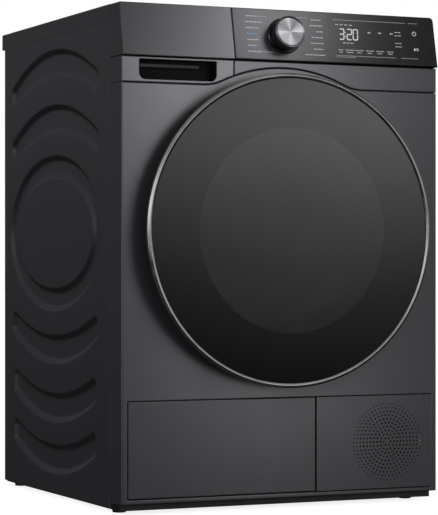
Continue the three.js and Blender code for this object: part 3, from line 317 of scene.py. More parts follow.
def linear(code):
    """A colour written as sRGB hex, as the linear values the shaders take."""
    parts = [int(code[i : i + 2], 16) / 255 for i in (1, 3, 5)]
    return tuple(c / 12.92 if c <= 0.04045 else ((c + 0.055) / 1.055) ** 2.4 for c in parts)


# ---------------------------------------------------------------- what a user would change
def length(name, text, value):
    """A length with its name and description, in metres."""
    return FloatProperty(name=name, description=text, default=value, unit="LENGTH", subtype="DISTANCE")


def colour(name, text, code):
    """A colour with its name and description, from its hex code."""
    return FloatVectorProperty(name=name, description=text, default=linear(code), subtype="COLOR", size=3)


class DRYER_PG_sizes(bpy.types.PropertyGroup):
    press_depth: length("Pressing depth", "How deep the bands are pressed into the side panels", 6 * MM)
    press_slope: length("Pressing slope", "Width of the sloping walls of the pressed bands", 12 * MM)
    sheet: length("Sheet thickness", "Thickness of the steel sheet", 1.2 * MM)
    bend: length("Bend radius", "Radius of the front panel's folded edges", 3.5 * MM)
    console_corner: length("Console corner", "Radius of the console's upper corners", 7 * MM)
    vent_pitch: length("Vent pitch", "Distance between the rings of vent holes", 6.6 * MM)
    vent_hole: length("Vent hole", "Radius of the vent holes", 1.75 * MM)
    vent_rings: IntProperty(name="Vent rings", description="Rings of holes in the vent", default=10, min=1)
    drum_pitch: length("Drum pitch", "Distance between the rings of holes in the drum's rear wall", 11 * MM)
    drum_hole: length("Drum hole", "Radius of the holes in the drum's rear wall", 2.6 * MM)


class DRYER_PG_finishes(bpy.types.PropertyGroup):
    paint: colour("Cabinet paint", "Colour of the painted side panels", "#3b3a3e")
    front: colour("Front paint", "Colour of the painted front", "#29282c")
    console: colour("Console", "Colour of the console's moulding", "#3b3a3e")
    gloss: colour("Display", "Colour of the display window", "#060607")
    black: colour("Black plastic", "Colour of the door rim and base", "#0c0c0d")
    grey: colour("Grey plastic", "Colour of the inner mouldings", "#8b8d8f")
    white: colour("White plastic", "Colour of the water tank", "#d9d9d4")
    glass: colour("Smoked glass", "Tint of the door's outer glass", "#6d6c68")
    print_white: colour("Print", "Colour of the printed marks", "#c9cbcd")
    print_blue: colour("Marked print", "Colour of the marked programme", "#6f9fd0")


# ---------------------------------------------------------------- nodes and materials
def add(tree, kind, settings=None, inputs=None, links=None):
    """Adds a node, sets its properties and its inputs, and links sockets to its inputs."""
    made = tree.nodes.new(kind)
    for key, value in (settings or {}).items():
        setattr(made, key, value)
    for key, value in (inputs or {}).items():
        made.inputs[key].default_value = value
    for key, socket in (links or {}).items():
        tree.links.new(socket, made.inputs[key])
    return made


def shader(name, base, metallic, roughness, **sockets):
    """A material with one Principled shader, and its tree."""
    made = bpy.data.materials.new(name)
    made.use_nodes = True
    tree = made.node_tree
    principled = tree.nodes["Principled BSDF"]
    principled.inputs["Base Color"].default_value = (*base, 1)
    principled.inputs["Metallic"].default_value = metallic
    principled.inputs["Roughness"].default_value = roughness
    for key, value in sockets.items():
        principled.inputs[key.replace("_", " ")].default_value = value
    return made, tree, principled


def object_noise(tree, scale, detail=2.0, stretch=(1, 1, 1)):
    """Noise in object space; scale is one over the size of a feature in metres."""
    place = add(tree, "ShaderNodeTexCoord")
    mapping = add(
        tree,
        "ShaderNodeMapping",
        inputs={"Scale": stretch},
        links={"Vector": place.outputs["Object"]},
    )
    return add(
        tree,
        "ShaderNodeTexNoise",
        inputs={"Scale": scale, "Detail": detail},
        links={"Vector": mapping.outputs["Vector"]},
    )


def ramp_between(tree, socket, low, high, stops):
    """A colour ramp over a socket's values from low to high; each stop is (value, colour)."""
    share = add(
        tree,
        "ShaderNodeMapRange",
        inputs={"From Min": low, "From Max": high},
        links={"Value": socket},
    )
    ramp = add(tree, "ShaderNodeValToRGB", links={"Fac": share.outputs["Result"]})
    elements = ramp.color_ramp.elements
    while len(elements) < len(stops):
        elements.new(0.5)
    for element, (value, tint) in zip(elements, stops):
        element.position = (value - low) / (high - low)
        element.color = (*tint, 1)
    return ramp


def vary_roughness(tree, principled, noise, low, high):
    """Lets noise move a material's roughness between two values."""
    spread = add(
        tree,
        "ShaderNodeMapRange",
        inputs={"From Min": 0.3, "From Max": 0.7, "To Min": low, "To Max": high},
        links={"Value": noise.outputs["Fac"]},
    )
    tree.links.new(spread.outputs["Result"], principled.inputs["Roughness"])


def vary_colour(tree, principled, noise, dark, light):
    """Lets noise mix a material's colour from a dark and a light one."""
    ramp = add(tree, "ShaderNodeValToRGB", links={"Fac": noise.outputs["Fac"]})
    ramp.color_ramp.elements[0].position = 0.35
    ramp.color_ramp.elements[1].position = 0.65
    ramp.color_ramp.elements[0].color = (*dark, 1)
    ramp.color_ramp.elements[1].color = (*light, 1)
    tree.links.new(ramp.outputs["Color"], principled.inputs["Base Color"])


def bump(tree, principled, noise, strength, distance):
    """Raises a material's surface a little by noise."""
    relief = add(
        tree,
        "ShaderNodeBump",
        inputs={"Strength": strength, "Distance": distance},
        links={"Height": noise.outputs["Fac"]},
    )
    tree.links.new(relief.outputs["Normal"], principled.inputs["Normal"])


def shade(colour_value, factor):
    """A colour made darker or lighter."""
    return tuple(min(1.0, c * factor) for c in colour_value)


def baked_metallic_paint(name, base, roughness):
    """Powder-baked metallic paint on steel: fine aluminium flake, satin, faint orange peel."""
    made, tree, principled = shader(name, base, 0.35, roughness)
    flake = object_noise(tree, 900.0, 1.0)
    vary_colour(tree, principled, flake, shade(base, 0.9), shade(base, 1.12))
    peel = object_noise(tree, 260.0, 2.0)
    bump(tree, principled, peel, 0.05, 0.2 * MM)
    cloud = object_noise(tree, 9.0, 2.0)
    vary_roughness(tree, principled, cloud, roughness - 0.02, roughness + 0.03)
    return made


def moulded_plastic(name, base, roughness, grain=1400.0, relief=0.06):
    """Injection-moulded plastic: an even colour and a fine spark-eroded grain that softens its gloss."""
    made, tree, principled = shader(name, base, 0.0, roughness)
    texture = object_noise(tree, grain, 3.0)
    bump(tree, principled, texture, relief, 0.1 * MM)
    cloud = object_noise(tree, 25.0, 2.0)
    vary_roughness(tree, principled, cloud, roughness - 0.03, roughness + 0.04)
    vary_colour(tree, principled, cloud, shade(base, 0.96), shade(base, 1.04))
    return made


def gloss_plastic(name, base, roughness):
    """Polished acrylic over black print: a deep black with clear, slightly soft reflections."""
    made, tree, principled = shader(name, base, 0.0, roughness, IOR=1.49)
    wipe = object_noise(tree, 14.0, 3.0)
    vary_roughness(tree, principled, wipe, roughness, roughness + 0.05)
    return made


def drawn_metal(name, base, roughness, stretch, scale=60.0, metallic=1.0):
    """Drawn, rolled or plated metal: a fine grain, stretched into lines along the metal's own way."""
    made, tree, principled = shader(name, base, metallic, roughness)
    lines = object_noise(tree, scale, 4.0, stretch)
    vary_roughness(tree, principled, lines, roughness - 0.06, roughness + 0.1)
    vary_colour(tree, principled, lines, shade(base, 0.86), shade(base, 1.1))
    bump(tree, principled, lines, 0.06, 0.05 * MM)
    return made


def spun_aluminium(name, base, roughness, centre):
    """Aluminium faced on a lathe: fine rings round its axis, and the bright wedges they throw, painted into its
    colour as highlights.
    """
    made, tree, principled = shader(name, base, 1.0, roughness, Anisotropic=0.6)
    place = add(tree, "ShaderNodeTexCoord")
    turn = add(
        tree,
        "ShaderNodeMapping",
        settings={"vector_type": "TEXTURE"},
        inputs={"Location": centre, "Rotation": (math.pi / 2 - TILT, 0, 0)},
        links={"Vector": place.outputs["Object"]},
    )
    split = add(tree, "ShaderNodeSeparateXYZ", links={"Vector": turn.outputs["Vector"]})
    angle = add(
        tree,
        "ShaderNodeMath",
        settings={"operation": "ARCTAN2"},
        links={0: split.outputs["Y"], 1: split.outputs["X"]},
    )
    # Painted highlights and shade: lighter and darker wedges round the knob's axis, set in its base colour.
    stops = [(math.radians(degrees), shade(base, light)) for degrees, light in KNOB_PAINTED_WEDGES]
    ramp = ramp_between(tree, angle.outputs["Value"], -math.pi, math.pi, stops)
    tree.links.new(ramp.outputs["Color"], principled.inputs["Base Color"])
    flat = add(tree, "ShaderNodeCombineXYZ", links={"X": split.outputs["X"], "Y": split.outputs["Y"]})
    reach = add(
        tree,
        "ShaderNodeVectorMath",
        settings={"operation": "LENGTH"},
        links={0: flat.outputs["Vector"]},
    )
    rings = add(
        tree,
        "ShaderNodeTexNoise",
        settings={"noise_dimensions": "1D"},
        inputs={"Scale": 2600.0, "Detail": 1.0},
        links={"W": reach.outputs["Value"]},
    )
    vary_roughness(tree, principled, rings, roughness - 0.05, roughness + 0.08)
    bump(tree, principled, rings, 0.1, 0.03 * MM)
    return made


def moulding_with_painted_light(name, base, dark, roughness):
    """The console's satin moulding, whose print darkens to black towards the display; its colour also carries
    painted shade towards the left end and a painted highlight near the middle.
    """
    made, tree, principled = shader(name, base, 0.1, roughness)
    place = add(tree, "ShaderNodeTexCoord")
    split = add(tree, "ShaderNodeSeparateXYZ", links={"Vector": place.outputs["Object"]})
    stops = [(x, [d + (c - d) * own for c, d in zip(base, dark)]) for x, own in PRINT_FADE_AND_PAINTED_LIGHT]
    ramp = ramp_between(tree, split.outputs["X"], PRINT_FADE_AND_PAINTED_LIGHT[0][0], PRINT_FADE_AND_PAINTED_LIGHT[-1][0], stops)
    tree.links.new(ramp.outputs["Color"], principled.inputs["Base Color"])
    principled.inputs["Specular IOR Level"].default_value = 0.2
    texture = object_noise(tree, 1400.0, 3.0)
    bump(tree, principled, texture, 0.04, 0.1 * MM)
    vary_roughness(tree, principled, texture, roughness - 0.03, roughness + 0.03)
    return made


def smoked_glass(name, tint):
    """Tempered glass with a dark body tint: it shows the drum faintly and mirrors the room."""
    made, tree, principled = shader(name, tint, 0.0, 0.03, IOR=1.5, Transmission_Weight=1.0)
    haze = object_noise(tree, 8.0, 1.0)
    vary_roughness(tree, principled, haze, 0.02, 0.04)
    return made


def painted_shade_moulding(name, base):
    """Coarse matt plastic in a deep recess, near black and with no reflection of its own: painted shade for the
    inside of the recess.
    """
    made, tree, principled = shader(name, base, 0.0, 1.0)
    principled.inputs["Specular IOR Level"].default_value = 0.0
    dots = object_noise(tree, 500.0, 1.0)
    vary_colour(tree, principled, dots, shade(base, 0.9), shade(base, 1.1))
    return made


def soft_rubber(name, base):
    """Moulded EPDM: dull, slightly dusty black."""
    made, tree, principled = shader(name, base, 0.0, 0.75)
    dust = object_noise(tree, 120.0, 4.0)
    vary_colour(tree, principled, dust, base, shade(base, 1.5))
    bump(tree, principled, dust, 0.1, 0.2 * MM)
    return made


def wool_felt(name, base):
    """Pressed wool felt: matt, with short fibres lying every way."""
    made, tree, principled = shader(name, base, 0.0, 0.95, Sheen_Weight=0.4)
    fibre = object_noise(tree, 700.0, 5.0)
    vary_colour(tree, principled, fibre, shade(base, 0.8), shade(base, 1.1))
    bump(tree, principled, fibre, 0.5, 0.4 * MM)
    return made


def printed_ink(name, base, glow=0.0):
    """Screen print on the console's face, lit a little where it glows: on the white and blue print the glow is
    painted light that brightens the marks, on the display's segments it is their own light.
    """
    made, tree, principled = shader(name, base, 0.0, 0.5, Emission_Strength=glow)
    principled.inputs["Emission Color"].default_value = (*base, 1)
    grain = object_noise(tree, 3000.0, 1.0)
    vary_colour(tree, principled, grain, shade(base, 0.94), base)
    return made


# ---------------------------------------------------------------- outlines
def arc(centre, radius, start, end, steps):
    """Points on an arc between two angles in radians."""
    angles = [start + (end - start) * step / steps for step in range(steps + 1)]
    return [(centre[0] + radius * math.cos(a), centre[1] + radius * math.sin(a)) for a in angles]


def ellipse(centre, across, up, steps, turn=1):
    """A closed ellipse; turn is 1 for anticlockwise and -1 for clockwise."""
    angles = [turn * 2 * math.pi * step / steps for step in range(steps)]
    return [(centre[0] + across * math.cos(a), centre[1] + up * math.sin(a)) for a in angles]


def bow(start, middle, end, steps):
    """A curve from start to end whose middle passes through a given height."""
    control = ((start[0] + end[0]) / 2, 2 * middle - (start[1] + end[1]) / 2)
    return quadratic(start, control, end, steps)


def quadratic(start, control, end, steps):
    """A curve from start to end that leans towards a control point."""
    points = []
    for step in range(steps + 1):
        t = step / steps
        weights = ((1 - t) ** 2, 2 * t * (1 - t), t * t)
        points.append(tuple(sum(w * p[i] for w, p in zip(weights, (start, control, end))) for i in (0, 1)))
    return points


def rounded(corners, steps=6, closed=True):
    """An outline through corners (x, y, radius), each turned into an arc of its radius."""
    points = []
    count = len(corners)
    for place, (x, y, radius) in enumerate(corners):
        here = Vector((x, y))
        if radius <= 0 or (not closed and place in (0, count - 1)):
            points.append((x, y))
            continue
        before = (Vector(corners[place - 1][:2]) - here).normalized()
        after = (Vector(corners[(place + 1) % count][:2]) - here).normalized()
        half = before.angle(after) / 2
        centre = here + (before + after).normalized() * (radius / math.sin(half))
        start = here + before * (radius / math.tan(half)) - centre
        end = here + after * (radius / math.tan(half)) - centre
        first = math.atan2(start.y, start.x)
        swing = (math.atan2(end.y, end.x) - first + math.pi) % (2 * math.pi) - math.pi
        points.extend(arc(centre, radius, first, first + swing, steps))
    return points


def rectangle(x0, x1, y0, y1, radius, turn=1, steps=6):
    """A rectangle with rounded corners; turn is 1 for anticlockwise and -1 for clockwise."""
    corners = [(x0, y0, radius), (x1, y0, radius), (x1, y1, radius), (x0, y1, radius)]
    return rounded(corners[::turn], steps)


def inset(loop, amount):
    """A closed outline moved to its left by an amount, with its corners mitred."""
    points = np.array(loop)
    along = np.roll(points, -1, axis=0) - points
    along /= np.linalg.norm(along, axis=1)[:, None]
    left = np.stack([-along[:, 1], along[:, 0]], axis=1)
    mitre = left + np.roll(left, 1, axis=0)
    mitre /= np.linalg.norm(mitre, axis=1)[:, None]
    stretch = np.sum(mitre * left, axis=1)[:, None]
    return points + mitre * (amount / stretch)


def encloses(starts, ends, x, y):
    """Whether a line from a point crosses edges an odd number of times, and so lies between outlines."""
    spans = (starts[:, 1] > y) != (ends[:, 1] > y)
    start, end = starts[spans], ends[spans]
    crossings = start[:, 0] + (y - start[:, 1]) * (end[:, 0] - start[:, 0]) / (end[:, 1] - start[:, 1])
    return np.count_nonzero(crossings > x) % 2 == 1


# ---------------------------------------------------------------- meshes
class Shape:
    """Vertices and faces gathered for one piece."""

    def __init__(self):
        self.points = []
        self.faces = []

    def ring(self, points):
        """Adds points and returns their places."""
        first = len(self.points)
        self.points.extend(tuple(p) for p in points)
        return list(range(first, len(self.points)))

    def bridge(self, one, other, closed=True):
        """Joins two rings; anticlockwise rings that spread outwards as they go give outward faces."""
        count = len(one)
        for place in range(count if closed else count - 1):
            after = (place + 1) % count
            self.faces.append((one[place], other[place], other[after], one[after]))

    def fill(self, rings, flat, turn=1):
        """Fills the area between outlines; flat holds their points in the plane, turn faces it back."""
        ids = [i for ring in rings for i in ring]
        spots = [Vector((float(p[0]), float(p[1]))) for outline in flat for p in outline]
        edges = []
        for outline in flat:
            first = len(edges)
            edges.extend((first + i, first + (i + 1) % len(outline)) for i in range(len(outline)))
        starts = np.array([spots[a] for a, _ in edges])
        ends = np.array([spots[b] for _, b in edges])
        places, _, triangles, sources, _, _ = delaunay_2d_cdt(spots, edges, [], 0, 1e-8)
        for a, b, c in triangles:
            middle = (places[a] + places[b] + places[c]) / 3
            if not encloses(starts, ends, middle.x, middle.y):
                continue
            if (places[b] - places[a]).cross(places[c] - places[a]) * turn < 0:
                a, c = c, a
            self.faces.append(tuple(ids[sources[corner][0]] for corner in (a, b, c)))

    def box(self, low, high):
        """A closed box between two corners."""
        corners = [(x, y, z) for z in (low[2], high[2]) for x, y in
                   ((low[0], low[1]), (high[0], low[1]), (high[0], high[1]), (low[0], high[1]))]
        first = len(self.points)
        self.points.extend(corners)
        for face in ((0, 3, 2, 1), (4, 5, 6, 7), (0, 1, 5, 4), (1, 2, 6, 5), (2, 3, 7, 6), (3, 0, 4, 7)):
            self.faces.append(tuple(first + i for i in face))


def plain_object(name, points, edges=(), faces=()):
    """An object in the scene, with a mesh of its own."""
    mesh = bpy.data.meshes.new(name)
    mesh.from_pydata(points, edges, faces)
    made = bpy.data.objects.new(name, mesh)
    bpy.context.scene.collection.objects.link(made)
    return made


def piece_from(name, shape, face_towards=None, closed=True, sharp=35.0):
    """Makes an object of a shape, smooth but for its sharp edges.

    A closed shape's faces are turned outwards; an open sheet keeps them, or turns them to a side.
    """
    made = plain_object(name, shape.points, faces=shape.faces)
    work = bmesh.new()
    work.from_mesh(made.data)
    bmesh.ops.remove_doubles(work, verts=work.verts, dist=1e-6)
    bmesh.ops.dissolve_degenerate(work, edges=work.edges, dist=1e-7)
    if closed:
        bmesh.ops.recalc_face_normals(work, faces=work.faces)
    if face_towards is not None:
        biggest = max(work.faces, key=lambda face: face.calc_area())
        if biggest.normal.dot(face_towards) < 0:
            bmesh.ops.reverse_faces(work, faces=work.faces)
    work.to_mesh(made.data)
    work.free()
    smooth(made.data, sharp)
    return made


def smooth(mesh, sharp=35.0):
    """Shades a mesh smooth but for edges sharper than an angle in degrees."""
    mesh.shade_smooth()
    mesh.set_sharp_from_angle(angle=math.radians(sharp))


def bake(piece):
    """Turns a piece's modifiers into plain mesh."""
    view = bpy.context.evaluated_depsgraph_get()
    shape = bpy.data.meshes.new_from_object(piece.evaluated_get(view), depsgraph=view)
    piece.modifiers.clear()
    old = piece.data
    piece.data = shape
    bpy.data.meshes.remove(old)
    return piece


def thicken(piece, thickness):
    """Gives a sheet its wall, towards its back."""
    wall = piece.modifiers.new("wall", "SOLIDIFY")
    wall.thickness = thickness
    wall.offset = -1
    wall.use_even_offset = True
    wall.thickness_clamp = 1
    bake(piece)
    smooth(piece.data)
    return piece


def flatten_shading(piece):
    """Keeps the shading of large flat faces flat beside their rounded edges."""
    weigh = piece.modifiers.new("weigh", "WEIGHTED_NORMAL")
    weigh.keep_sharp = True
    weigh.weight = 100
    return bake(piece)


def subtract(piece, cutter):
    """Cuts one closed piece out of another and removes the cutter."""
    cut = piece.modifiers.new("cut", "BOOLEAN")
    cut.operation = "DIFFERENCE"
    cut.solver = "EXACT"
    cut.object = cutter
    bake(piece)
    bpy.data.objects.remove(cutter)
    smooth(piece.data)
    return piece


def cut_away(piece, *boxes):
    """Cuts boxes, each given by two corners, out of a closed piece."""
    for low, high in boxes:
        shape = Shape()
        shape.box(low, high)
        subtract(piece, piece_from("cutter", shape))
    return piece


def lathe(name, profile, centre=(0, AXIS_Z), segments=192, place=None, sharp=35.0):
    """Turns an outline of (radius, y) points about a line along Y; place puts it elsewhere."""
    shape = Shape()
    place = place or (lambda x, y, z: (centre[0] + x, y, centre[1] + z))
    rings = []
    for radius, y in profile:
        if radius < 1e-6:
            rings.append(shape.ring([place(0, y, 0)]) * segments)
            continue
        angles = [2 * math.pi * step / segments for step in range(segments)]
        rings.append(shape.ring(place(radius * math.cos(a), y, radius * math.sin(a)) for a in angles))
    closed = profile[0][0] > 1e-6
    for one, other in zip(rings, rings[1:] + (rings[:1] if closed else [])):
        shape.bridge(one, other)
    shape.faces = [tuple(dict.fromkeys(face)) for face in shape.faces]
    return piece_from(name, shape, sharp=sharp)


def pan(shape, loops, place, edge, back, steps=4, floor=False, shut=()):
    """A flat face with rounded edges and walls behind it.

    loops run with the material on their left, and edge is the radius of their edges or one for
    each. place(u, v, w) gives the point at u, v and w below the face, and back(point, u, v) gives
    the wall's far end. floor closes the whole back, and shut names the holes with a floor of
    their own.
    """
    edges = edge if isinstance(edge, tuple) else (edge,) * len(loops)
    fronts = []
    flats = []
    backs = []
    for loop, radius in zip(loops, edges):
        rings = []
        for step in range(steps + 1):
            angle = math.pi / 2 * step / steps
            flat = inset(loop, radius * (1 - math.sin(angle)))
            rings.append(shape.ring(place(u, v, radius * (1 - math.cos(angle))) for u, v in flat))
            if step == 0:
                flats.append(flat)
        ends = [back(shape.points[i], u, v) for i, (u, v) in zip(rings[-1], loop)]
        rings.append(shape.ring(ends))
        for one, other in zip(rings, rings[1:]):
            shape.bridge(one, other)
        fronts.append(rings[0])
        backs.append(rings[-1])
    shape.fill(fronts, flats)
    if floor:
        shape.fill(backs, loops, -1)
    for hole in shut:
        shape.fill([backs[hole]], [loops[hole]])
    return shape


# ---------------------------------------------------------------- places
def on_front(u, v, w):
    """A point of the front: u across, v up, w behind the front panel's face."""
    return (u, FRONT_Y + w, v)


def on_console(u, v, w):
    """A point of the console: u across, v up its slope, w behind its face."""
    return tuple(FACE @ Vector((u, v, -w)))


def on_top(u, v, w):
    """A point of the worktop: u across, v towards the back, w below its face."""
    return (u, v, TOP_Z - w)


def finish_piece(piece, finish, body, slot, *nodes):
    """Gives a piece its finish, its body, its slot and the nodes it stands for."""
    piece.data.materials.clear()
    for one in finish if isinstance(finish, tuple) else (finish,):
        piece.data.materials.append(FINISH[one])
    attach(piece, body)
    if nodes:
        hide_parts(*nodes)
    return piece


FINISH = {}


# ---------------------------------------------------------------- pieces
class Builder:
    """What every piece's operator shares."""

    bl_options = {"REGISTER", "UNDO"}

    @property
    def sizes(self):
        return bpy.context.scene.dryer_sizes


class DRYER_OT_finishes(Builder, bpy.types.Operator):
    """Makes every finish and gives the frame's own nodes theirs"""

    bl_idname = "dryer.finishes"
    bl_label = "Finishes"

    def execute(self, context):
        tints = bpy.context.scene.dryer_finishes
        FINISH.update({
            "body_paint": baked_metallic_paint("baked_metallic_paint", tints.paint, 0.42),
            "front_paint": baked_metallic_paint("baked_metallic_front_paint", tints.front, 0.4),
            "worktop_board": moulded_plastic("textured_worktop", tints.paint, 0.42),
            "console_plastic": moulding_with_painted_light("satin_abs_console", tints.console, tints.gloss, 0.36),
            "strip_plastic": baked_metallic_paint("metallic_abs_strip", tints.front, 0.4),
            "plinth_plastic": baked_metallic_paint("metallic_abs_plinth", tints.front, 0.42),
            "black_gloss": gloss_plastic("acrylic_display", tints.gloss, 0.12),
            "black_plastic": moulded_plastic("moulded_black_pp", tints.black, 0.5),
            # The pocket rib's grey is lighter than the pocket round it: a painted highlight for the light band
            # along its ledge.
            "rib_plastic": moulded_plastic("moulded_grey_rib", linear("#2a2a29"), 0.5),
            # The finger pocket's near-black, unreflecting finish is painted shade in the recess.
            "pocket_plastic": painted_shade_moulding("matt_black_pocket", linear("#0b0b0c")),
            "grey_plastic": moulded_plastic("moulded_grey_pp", tints.grey, 0.55),
            "white_plastic": moulded_plastic("moulded_white_pp", tints.white, 0.45),
            "trim_chrome": drawn_metal("satin_chromed_rim", linear("#b2b2b0"), 0.2, (1, 1, 1), 40.0),
            "knob_aluminium": spun_aluminium("spun_aluminium", linear("#c6c7c9"), 0.3, KNOB_CENTRE),
            "knob_side": drawn_metal("dark_chromed_knob_side", linear("#77777a"), 0.26, (1, 1, 1), 60.0),
            "fin_aluminium": drawn_metal("rolled_aluminium_fins", linear("#b9babc"), 0.4, (1, 1, 12)),
            "drum_steel": drawn_metal(
                "brushed_stainless_drum", linear("#b4b5b7"), 0.34, (8, 1, 8), 90.0, 0.75
            ),
            "zinc_steel": drawn_metal("zinc_plated_steel", linear("#9b9da0"), 0.42, (1, 1, 1), 160.0, 0.5),
            "compressor_paint": moulded_plastic("black_enamelled_shell", linear("#101012"), 0.35),
            "door_glass": smoked_glass("smoked_tempered_glass", tints.glass),
            "glass_print": gloss_plastic("glass_over_black_print", linear("#070707"), 0.02),
            "bowl_glass": smoked_glass("clear_borosilicate_bowl", linear("#c8ccca")),
            "seal_rubber": soft_rubber("moulded_epdm_rubber", linear("#1c1c1d")),
            "felt": wool_felt("pressed_wool_felt", linear("#b9b3a4")),
            "circuit_board": gloss_plastic("glass_epoxy_board", linear("#1f5a2f"), 0.3),
            # The glow of the white and blue print is painted light; the display's segments glow with their own
            # light.
            "print_white": printed_ink("white_screen_print", tints.print_white, 0.4),
            "print_lit": printed_ink("lit_segments", tints.print_white, 0.6),
            "print_blue": printed_ink("blue_screen_print", tints.print_blue, 0.55),
        })
        for part in frame["record"]["subparts"]:
            slot = part["material_slot"]
            if part["node"] in ("evaporator", "condenser"):
                slot = "fin_aluminium"
            node = frame["nodes"][part["node"]]
            node.data.materials.clear()
            node.data.materials.append(FINISH[slot])
        return {"FINISHED"}


class DRYER_OT_side_panels(Builder, bpy.types.Operator):
    """Side panels: steel sheet with five pressed bows and a ring, folded at both ends"""

    bl_idname = "dryer.side_panels"
    bl_label = "Side panels"

    def execute(self, context):
        for name, sign in (("side_panel_left", -1), ("side_panel_right", 1)):
            low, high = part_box(name)
            low.z -= SKIRT
            panel = thicken(self.sheet(name + "_skin", sign, low, high), self.sizes.sheet)
            finish_piece(flatten_shading(panel), "body_paint", "cabinet", "body_paint", name)
        return {"FINISHED"}

    def pressings(self):
        """Each outline of a pressed band, with the material outside it on its right."""
        for top, top_end, bottom, bottom_end, top_half, bottom_half in BOWS:
            head_ends = (BOW_Y + top_half, top_end), (BOW_Y - top_half, top_end)
            foot_ends = (BOW_Y - bottom_half, bottom_end), (BOW_Y + bottom_half, bottom_end)
            foot = bow(foot_ends[0], bottom, foot_ends[1], BOW_STEPS)
            head = bow(head_ends[0], top, head_ends[1], BOW_STEPS)
            corners = [(y * MM, z * MM, 0) for y, z in foot + head]
            for place in (0, BOW_STEPS, BOW_STEPS + 1, 2 * BOW_STEPS + 1):
                corners[place] = (*corners[place][:2], BOW_CORNER)
            yield rounded(corners, 8)
        centre = (BOW_Y * MM, AXIS_Z - 1.5 * MM)
        for (across, up), turn in ((RING_OUTER, 1), (RING_INNER, -1)):
            yield ellipse(centre, across * MM, up * MM, 128, turn)

    def sheet(self, name, sign, low, high):
        """One side's sheet: its flat face with the pressings sunk into it, and its two folds."""
        sizes = self.sizes
        bend = sizes.bend
        y0, y1 = low.y + bend, high.y - bend
        points, edges, sinks = [], [], []

        def trace(loop, sink):
            first = len(points)
            points.extend(Vector((float(p[0]), float(p[1]))) for p in loop)
            sinks.extend([sink] * len(loop))
            edges.extend((first + i, first + (i + 1) % len(loop)) for i in range(len(loop)))

        trace([(y0, low.z), (y1, low.z), (y1, high.z), (y0, high.z)], 0)
        for loop in self.pressings():
            for step in range(PRESS_STEPS + 1):
                share = step / PRESS_STEPS
                ease = share * share * (3 - 2 * share)
                deep = sizes.press_depth * (0.35 * share + 0.65 * ease)
                trace(inset(loop, sizes.press_slope * share), deep)
        flat, _, triangles, sources, _, _ = delaunay_2d_cdt(points, edges, [], 0, 1e-7)
        shape = Shape()
        shape.points = [(sign * (HALF - sinks[s[0]]), p.x, p.y) for p, s in zip(flat, sources)]
        shape.faces = [tuple(t) for t in triangles]
        for edge_y, way, lip in ((y0, -1, FRONT_LIP), (y1, 1, REAR_LIP)):
            self.fold(shape, sign, edge_y, way, lip, (low.z, high.z), bend)
        return piece_from(name, shape, Vector((sign, 0, 0)))

    def fold(self, shape, sign, y, way, lip, heights, bend):
        """A rounded fold along an upright edge, ending in a lip that faces along Y."""
        across = arc((HALF - bend, 0), bend, 0, math.pi / 2, 6) + [(HALF - lip, bend)]
        rows = [shape.ring((sign * x, y + way * out, z) for z in heights) for x, out in across]
        for one, other in zip(rows, rows[1:]):
            shape.bridge(one, other, closed=False)


class DRYER_OT_front_panel(Builder, bpy.types.Operator):
    """Front panel: steel pan with a rolled edge, the loading opening and the plinth opening"""

    bl_idname = "dryer.front_panel"
    bl_label = "Front panel"

    def execute(self, context):
        foot = PANEL_LOW.z
        outline = [(HALF, SEAM_Z), *reversed(seam_curve(0)), (-HALF, SEAM_Z), (-HALF, foot), (HALF, foot)]
        opening = ellipse((0, AXIS_Z), OPENING_R, OPENING_R, 192, -1)
        plinth = rectangle(FLAP_LOW.x - PLINTH_GAP, GRILLE_HIGH.x + PLINTH_GAP,
                           GRILLE_LOW.z - 1.4 * MM, GRILLE_HIGH.z + PLINTH_GAP, 1.2 * MM, turn=-1)

        def back(point, u, v):
            deep = RETURN_Y if abs(abs(u) - HALF) < SNAP else FRONT_Y + WALL
            return (point[0], deep, point[2])

        shape = pan(Shape(), [outline, opening, plinth], on_front, EDGE, back)
        panel = thicken(piece_from("front_panel_skin", shape, closed=False), self.sizes.sheet)
        for left, right, middle, half in self.slots():
            near, far = FRONT_Y - MM, FRONT_Y + SLOT_DEEP
            cut_away(panel, ((left, near, middle - half), (right, far, middle + half)))
        finish_piece(flatten_shading(panel), "front_paint", "cabinet", "front_paint", "front_panel")
        return {"FINISHED"}

    def slots(self):
        """The slots of the latch and of the hinge's arms: (left, right, middle height, half height)."""
        low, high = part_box("latch_hook")
        yield low.x - LATCH_SLOT_ROOM, high.x + LATCH_SLOT_ROOM, AXIS_Z, LATCH_SLOT_HALF_TALL
        for sign in (-1, 1):
            left, right = HINGE.x - ARM_SLOT_HALF_WIDE, HINGE.x + ARM_SLOT_HALF_WIDE
            yield left, right, AXIS_Z + sign * HINGE_ARM, ARM_SLOT_HALF_TALL


def seam_curve(offset, steps=48):
    """The seam above the door from left to right: level, then bowed round the door, then level."""
    radius = SEAM_R + offset
    start = math.acos(SEAM_TOUCH / radius)
    rise = AXIS_Z + radius * math.sin(start)
    level = SEAM_Z + offset
    left = quadratic((-SEAM_FLAT, level), (-SEAM_KNEE, level), (-SEAM_TOUCH, rise), 10)
    middle = arc((0, AXIS_Z), radius, math.pi - start, start, steps)
    right = [(-x, y) for x, y in reversed(left)]
    return left[:-1] + middle + right[1:]


def seam_between(x0, x1):
    """The lower edge of the mouldings above the seam, from x0 to x1."""
    curve = [(-HALF, SEAM_Z + SEAM_GAP), *seam_curve(SEAM_GAP), (HALF, SEAM_Z + SEAM_GAP)]
    xs = [x for x, _ in curve]
    heights = [z for _, z in curve]
    inner = [(x, z) for x, z in curve if x0 + 3 * EDGE < x < x1 - 3 * EDGE]
    return [(x0, np.interp(x0, xs, heights)), *inner, (x1, np.interp(x1, xs, heights))]


